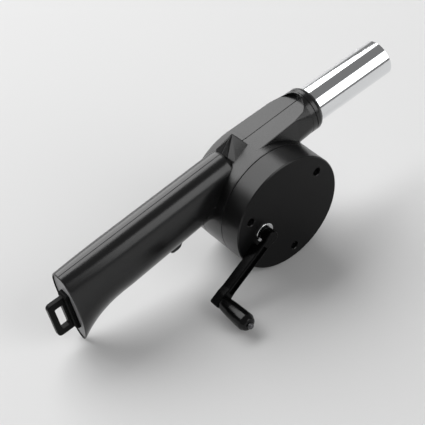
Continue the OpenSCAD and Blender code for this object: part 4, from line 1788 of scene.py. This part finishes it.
@dataclass
class Crank:
    """Bush, crank arm, knob pin and knob.

    Attributes:
        bench: places and dresses the pieces.
        length: distance from the shaft to the knob.
        drop_deg: angle of the arm below the handle's line.
        bush_start: inner end of the bush.
        bush_r: radius of the bush in the cover.
        flange: radius and thickness of its flange.
        arm_y: front and back of the arm.
        web_y: back of the arm beside its hub.
        hub_r: radius of the hub.
        web_half: half width of the arm.
        tip: how far the arm reaches past the knob's axis, and half its width there.
        deep_x: distance from the shaft at which the arm has its full depth.
        channel: start, distance of its end from the knob, half width and depth.
        pin: radius of the knob's pin and of its head.
        dome: height of the head's straight side and of its dome.
        pin_end: inner end of the pin.
        knob_y: start of the knob.
        knob_len: its length.
    """

    bench: Bench
    length: float = 50.7
    drop_deg: float = 28.0
    bush_start: float = 30.4
    bush_r: float = 4.6
    flange: tuple[float, float] = (6.7, 0.8)
    arm_y: tuple[float, float] = (-43.8, -37.2)
    web_y: float = -40.0
    hub_r: float = 4.7
    web_half: float = 3.6
    tip: tuple[float, float] = (4.8, 4.4)
    deep_x: float = 9.0
    channel: tuple[float, float, float, float] = (7.0, 6.6, 2.2, 1.4)
    pin: tuple[float, float] = (1.9, 2.1)
    dome: tuple[float, float] = (0.5, 1.7)
    pin_end: float = 37.8
    knob_y: float = -44.2
    knob_len: float = 25.2

    def knob_at(self) -> tuple[float, float]:
        """Place and height of the knob's axis."""
        angle, (x, z) = math.radians(self.drop_deg), self.bench.layout.crank
        return x - self.length * math.cos(angle), z - self.length * math.sin(angle)

    def build(self) -> None:
        """Builds every piece of the crank outside the cover."""
        self._bush()
        self._arm()
        self._pin()
        self._knob()

    def _bush(self) -> None:
        """Builds the bright flanged bush round the shaft."""
        layout, (flange_r, thick) = self.bench.layout, self.flange
        bore, face = layout.shaft_bore, layout.face
        profile = rounded([
            (bore, self.bush_start, 0.05),
            (self.bush_r, self.bush_start, 0.1),
            (self.bush_r, face, 0),
            (flange_r, face, 0.05),
            (flange_r, face + thick, 0.35),
            (flange_r - 1.5, face + thick, 0),
            (bore, face + thick, 0.25),
        ])
        skin = lathe(profile, layout.crank, segments=128, ring=True)
        self.bench.finish(Workshop.make("bush_metal", skin), "steel", "housing", "crank_bush")

    def _arm(self) -> None:
        """Builds the arm: a round hub, a channel on its front and a squared end."""
        front, back = self.arm_y
        hub = prism(self._outline(), front, self.web_y, 0.7, 5)
        arm = Workshop.make("crank_arm_moulding", hub)
        near, web = self.deep_x, self.web_half
        deep = rounded([(near, -web, 1), *self._head(), (near, web, 1)])
        Workshop.carve(arm, Cut.ADD, self._post(), prism(deep, front + 1, back, 0.5))
        start, gap, half, depth = self.channel
        stop = self.length - gap
        channel = [(start, -half), (stop, -half), (stop, half), (start, half)]
        groove = prism(rounded([(*at, 0.8) for at in channel]), front - 1, front + depth)
        past = back + 1.2
        shaft_hole = rod(0, 0, self.bench.layout.shaft_bore - 0.03, front + 1.6, past)
        pin_hole = rod(self.length, 0, self.pin[0] + 0.03, front - 1, past)
        Workshop.carve(arm, Cut.TAKE, groove, shaft_hole, pin_hole)
        x, z = self.bench.layout.crank
        turn = Matrix.Rotation(math.radians(180 - self.drop_deg), 4, "Y")
        arm.data.transform(Matrix.Translation((x, 0, z)) @ turn)
        self.bench.finish(arm, "satin", "crank", "crank_arm")

    def _head(self) -> list[tuple[float, float, float]]:
        """Corners of the arm's squared end, which is a little wider than the arm.

        Returns:
            Place and radius of each corner, from one side round to the other.
        """
        (reach, wide), half = self.tip, self.web_half
        end, wider, narrow = self.length + reach, self.length - 4, self.length - 9
        lower = [(narrow, -half, 4), (wider, -wide, 4), (end, -wide, 1.8)]
        return lower + [(x, -y, radius) for x, y, radius in lower[::-1]]

    def _outline(self) -> np.ndarray:
        """Outline of the whole arm, seen from the front.

        Returns:
            Its points: the hub's circle, then both sides and the squared end.
        """
        near = math.asin(self.web_half / self.hub_r)
        turn = np.linspace(near, 2 * np.pi - near, 41)
        sides = rounded([(20.0, -self.web_half, 0), *self._head(), (20.0, self.web_half, 0)])
        return np.concatenate([self.hub_r * np.stack([np.cos(turn), np.sin(turn)], -1), sides])

    def _post(self) -> Skin:
        """The hub at full depth, with a round back edge.

        Returns:
            The hub.
        """
        front, back, radius = -self.arm_y[0] - 1.0, -self.arm_y[1], self.hub_r
        corners = [(0, back, 0), (radius, back, 0.7), (radius, front, 0), (0, front, 0)]
        return lathe(rounded(corners, steps=5, closed=False))

    def _pin(self) -> None:
        """Builds the knob's pin with its small domed head."""
        head = -self.knob_y + self.knob_len
        (radius, head_r), (side, rise) = self.pin, self.dome
        turn = np.linspace(0, np.pi / 2, 9)
        dome = np.stack([head_r * np.cos(turn), head + side + rise * np.sin(turn)], -1)
        shank = [(0, self.pin_end), (radius, self.pin_end), (radius, head), (head_r, head)]
        profile = np.concatenate([shank, dome[:-1], [(0, head + side + rise)]])
        skin = lathe(profile, self.knob_at(), segments=64)
        self.bench.finish(Workshop.make("knob_pin_metal", skin), "dark_steel", "crank", "knob_pin")

    def _knob(self) -> None:
        """Builds the knob: slim where it starts, fullest near its end, with a round nose."""
        start, bore = -self.knob_y, self.pin[0] + 0.06
        end = start + self.knob_len
        profile = rounded([
            (bore, start, 0),
            (4.7, start, 0.5),
            (5.0, start + 2.4, 3),
            (5.5, start + 8, 12),
            (5.9, end - 9, 10),
            (6.0, end - 4, 3),
            (4.6, end - 1.1, 1.2),
            (3.2, end - 0.4, 0.3),
            (bore, end - 0.4, 0),
        ], 8)
        skin = lathe(profile, self.knob_at(), segments=128, ring=True)
        self.bench.finish(Workshop.make("knob_moulding", skin), "knob", "knob", "crank_knob")


@dataclass
class Inside:
    """Gears, shafts and fan, which are seen through the slots at most.

    Attributes:
        bench: places and dresses the pieces.
        nylon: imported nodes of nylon.
        steel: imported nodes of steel.
        fan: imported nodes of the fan's plastic.
    """

    bench: Bench
    nylon: tuple[str, ...] = ("crank_gear", "idler_gear", "fan_pinion", "front_bush", "rear_bush")
    steel: tuple[str, ...] = ("crank_shaft", "idler_pin", "fan_shaft", "fan_clip", "casing_screws")
    fan: tuple[str, ...] = ("fan_wheel",)

    def build(self) -> None:
        """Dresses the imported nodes."""
        for finish, nodes in (("nylon", self.nylon), ("steel", self.steel), ("fan", self.fan)):
            for node in nodes:
                self.bench.dress(node, finish)


@dataclass(frozen=True)
class Softbox:
    """A large soft lamp that faces the blower.

    Attributes:
        name: name of the lamp.
        heading: degrees from +Y towards +X.
        height: degrees over the table.
        distance: metres from the blower.
        width: metres.
        tall: metres.
        radiance: brightness of its face, where 1 is white.
        aim_z: height that it faces, in metres.
    """

    name: str
    heading: float
    height: float
    distance: float
    width: float
    tall: float
    radiance: float
    aim_z: float = 0.05

    def build(self) -> None:
        """Adds the lamp."""
        head, rise = math.radians(self.heading), math.radians(self.height)
        flat = math.cos(rise)
        away = Vector((math.sin(head) * flat, math.cos(head) * flat, math.sin(rise)))
        lamp = bpy.data.lights.new(self.name, "AREA")
        lamp.shape = "RECTANGLE"
        lamp.size, lamp.size_y = self.width, self.tall
        lamp.energy = self.radiance * math.pi * self.width * self.tall
        thing = bpy.data.objects.new(self.name, lamp)
        thing.location = away * self.distance + Vector((0.0, 0.0, self.aim_z))
        thing.rotation_euler = away.to_track_quat("Z", "Y").to_euler()
        bpy.context.scene.collection.objects.link(thing)


@dataclass(frozen=True)
class Viewpoint:
    """The camera, at the photograph's viewing angle, in the tool's own frame.

    Attributes:
        azimuth: radians from -Y towards +X, measured to the camera.
        elevation: radians over the tool's XY plane.
        roll: radians that the camera is turned round its line of sight.
        distance: millimetres from the aim.
        aim: point in the middle of the picture.
        focal_px: focal length in pixels of the picture.
        frame_px: width of the picture in pixels.
        sensor_mm: width of the sensor.
        clip: nearest and farthest distance that it sees, in metres.
    """

    azimuth: float = -0.50836
    elevation: float = 0.81557
    roll: float = -0.23916
    distance: float = 724.7481
    aim: tuple[float, float, float] = (-33.18501, 0.0, 1.29699)
    focal_px: float = 1125.0
    frame_px: float = 425.0
    sensor_mm: float = 36.0
    clip: tuple[float, float] = (0.01, 50.0)

    def build(self, tool: ToolFrame) -> None:
        """Adds the camera.

        Args:
            tool: the tool's frame.
        """
        flat = math.cos(self.elevation)
        across, ahead = math.sin(self.azimuth) * flat, -math.cos(self.azimuth) * flat
        away = Vector((across, ahead, math.sin(self.elevation)))
        level = (-away).cross(Vector((0, 0, 1))).normalized()
        upright = level.cross(-away)
        right = level * math.cos(self.roll) + upright * math.sin(self.roll)
        up = upright * math.cos(self.roll) - level * math.sin(self.roll)
        lens = bpy.data.cameras.new("camera")
        lens.sensor_width = self.sensor_mm
        lens.lens = self.focal_px / self.frame_px * self.sensor_mm
        lens.clip_start, lens.clip_end = self.clip
        thing = bpy.data.objects.new("camera", lens)
        stance = tool.turn() @ Matrix((right, up, away)).transposed().to_4x4()
        stance.translation = tool.matrix() @ (Vector(self.aim) + away * self.distance)
        thing.matrix_world = stance
        bpy.context.scene.collection.objects.link(thing)
        bpy.context.scene.camera = thing


@dataclass
class Studio:
    """Pale table, soft lamps and a dim room.

    Attributes:
        lamps: the soft lamps.
        room: brightness of the room all round.
        glow: extra brightness low down behind the blower.
        table: colour of the table top.
        reach: radius of the table top, in metres.
        wander: factors of the table's colour in its dark and in its pale patches.
        patches: patches of the table's colour in a metre, and their detail.
        dull: roughness of the table.
        behind: places along Y between which the glow sets in, on a sphere of radius 1.
        fade: heights between which the glow fades out, on the same sphere.
    """

    lamps: tuple[Softbox, ...] = (
        Softbox("key_softbox", -6.0, 40.0, 3.2, 3.94, 3.32, 4.1),
        Softbox("fill_softbox", 156.0, 32.0, 2.6, 1.5, 2.0, 2.7),
    )
    room: float = 0.22
    glow: float = 0.5
    table: Colour = (0.66, 0.66, 0.66)
    reach: float = 6.0
    wander: tuple[float, float] = (0.985, 1.015)
    patches: tuple[float, float] = (3.0, 3.0)
    dull: float = 0.9
    behind: tuple[float, float] = (-0.2, 0.5)
    fade: tuple[float, float] = (0.05, 0.3)

    def build(self) -> None:
        """Adds the table, the lamps and the room's light."""
        bpy.context.scene.view_settings.view_transform = "Standard"
        for lamp in self.lamps:
            lamp.build()
        self._table()
        self._room()

    def _table(self) -> None:
        """Adds the round table top, whose grey wanders faintly."""
        angle = np.linspace(0, 2 * np.pi, 96, endpoint=False)
        points = np.stack([np.cos(angle), np.sin(angle), 0 * angle], -1) * self.reach
        mesh = bpy.data.meshes.new("table_top")
        mesh.from_pydata(points.tolist(), [], [list(range(len(points)))])
        thing = bpy.data.objects.new("table_top", mesh)
        bpy.context.scene.collection.objects.link(thing)
        material = bpy.data.materials.new("table_top")
        sheet = NodeSheet(material)
        cloud = sheet.noise(sheet.place(), *self.patches)
        tint = sheet.blend(cloud, *(shade(self.table, factor) for factor in self.wander))
        sheet.surface(Base_Color=tint, Roughness=self.dull)
        mesh.materials.append(material)

    def _room(self) -> None:
        """Lights the room dimly, with a pale glow low down behind the blower."""
        world = bpy.data.worlds.new("room")
        bpy.context.scene.world = world
        sheet = NodeSheet(world)
        source = sheet.add("ShaderNodeTexCoord")
        parts = sheet.add("ShaderNodeSeparateXYZ", None, {0: source.outputs["Generated"]})
        back = Signal(sheet, parts.outputs["Y"]).smooth(*self.behind)
        low = 1 - Signal(sheet, parts.outputs["Z"]).smooth(*self.fade)
        level = self.room + back * low * self.glow
        shell = sheet.add("ShaderNodeBackground", None, {"Strength": level})
        shell.inputs["Color"].default_value = (1.0, 1.0, 1.0, 1.0)
        sheet.add("ShaderNodeOutputWorld", None, {"Surface": shell.outputs[0]})


def main() -> None:
    """Builds the blower's looks, piece by piece."""
    logging.basicConfig(level=logging.INFO, format="%(message)s")
    tool = ToolFrame.from_record(frame["record"])
    Viewpoint().build(tool)
    Studio().build()
    bench = Bench(tool, Finishes(tool.lean, tool.origin[1]))
    for assembly in (Casing, GearCover, HandleEnd, Outlet, Crank, Inside):
        assembly(bench).build()


if __name__ == "__main__":
    main()
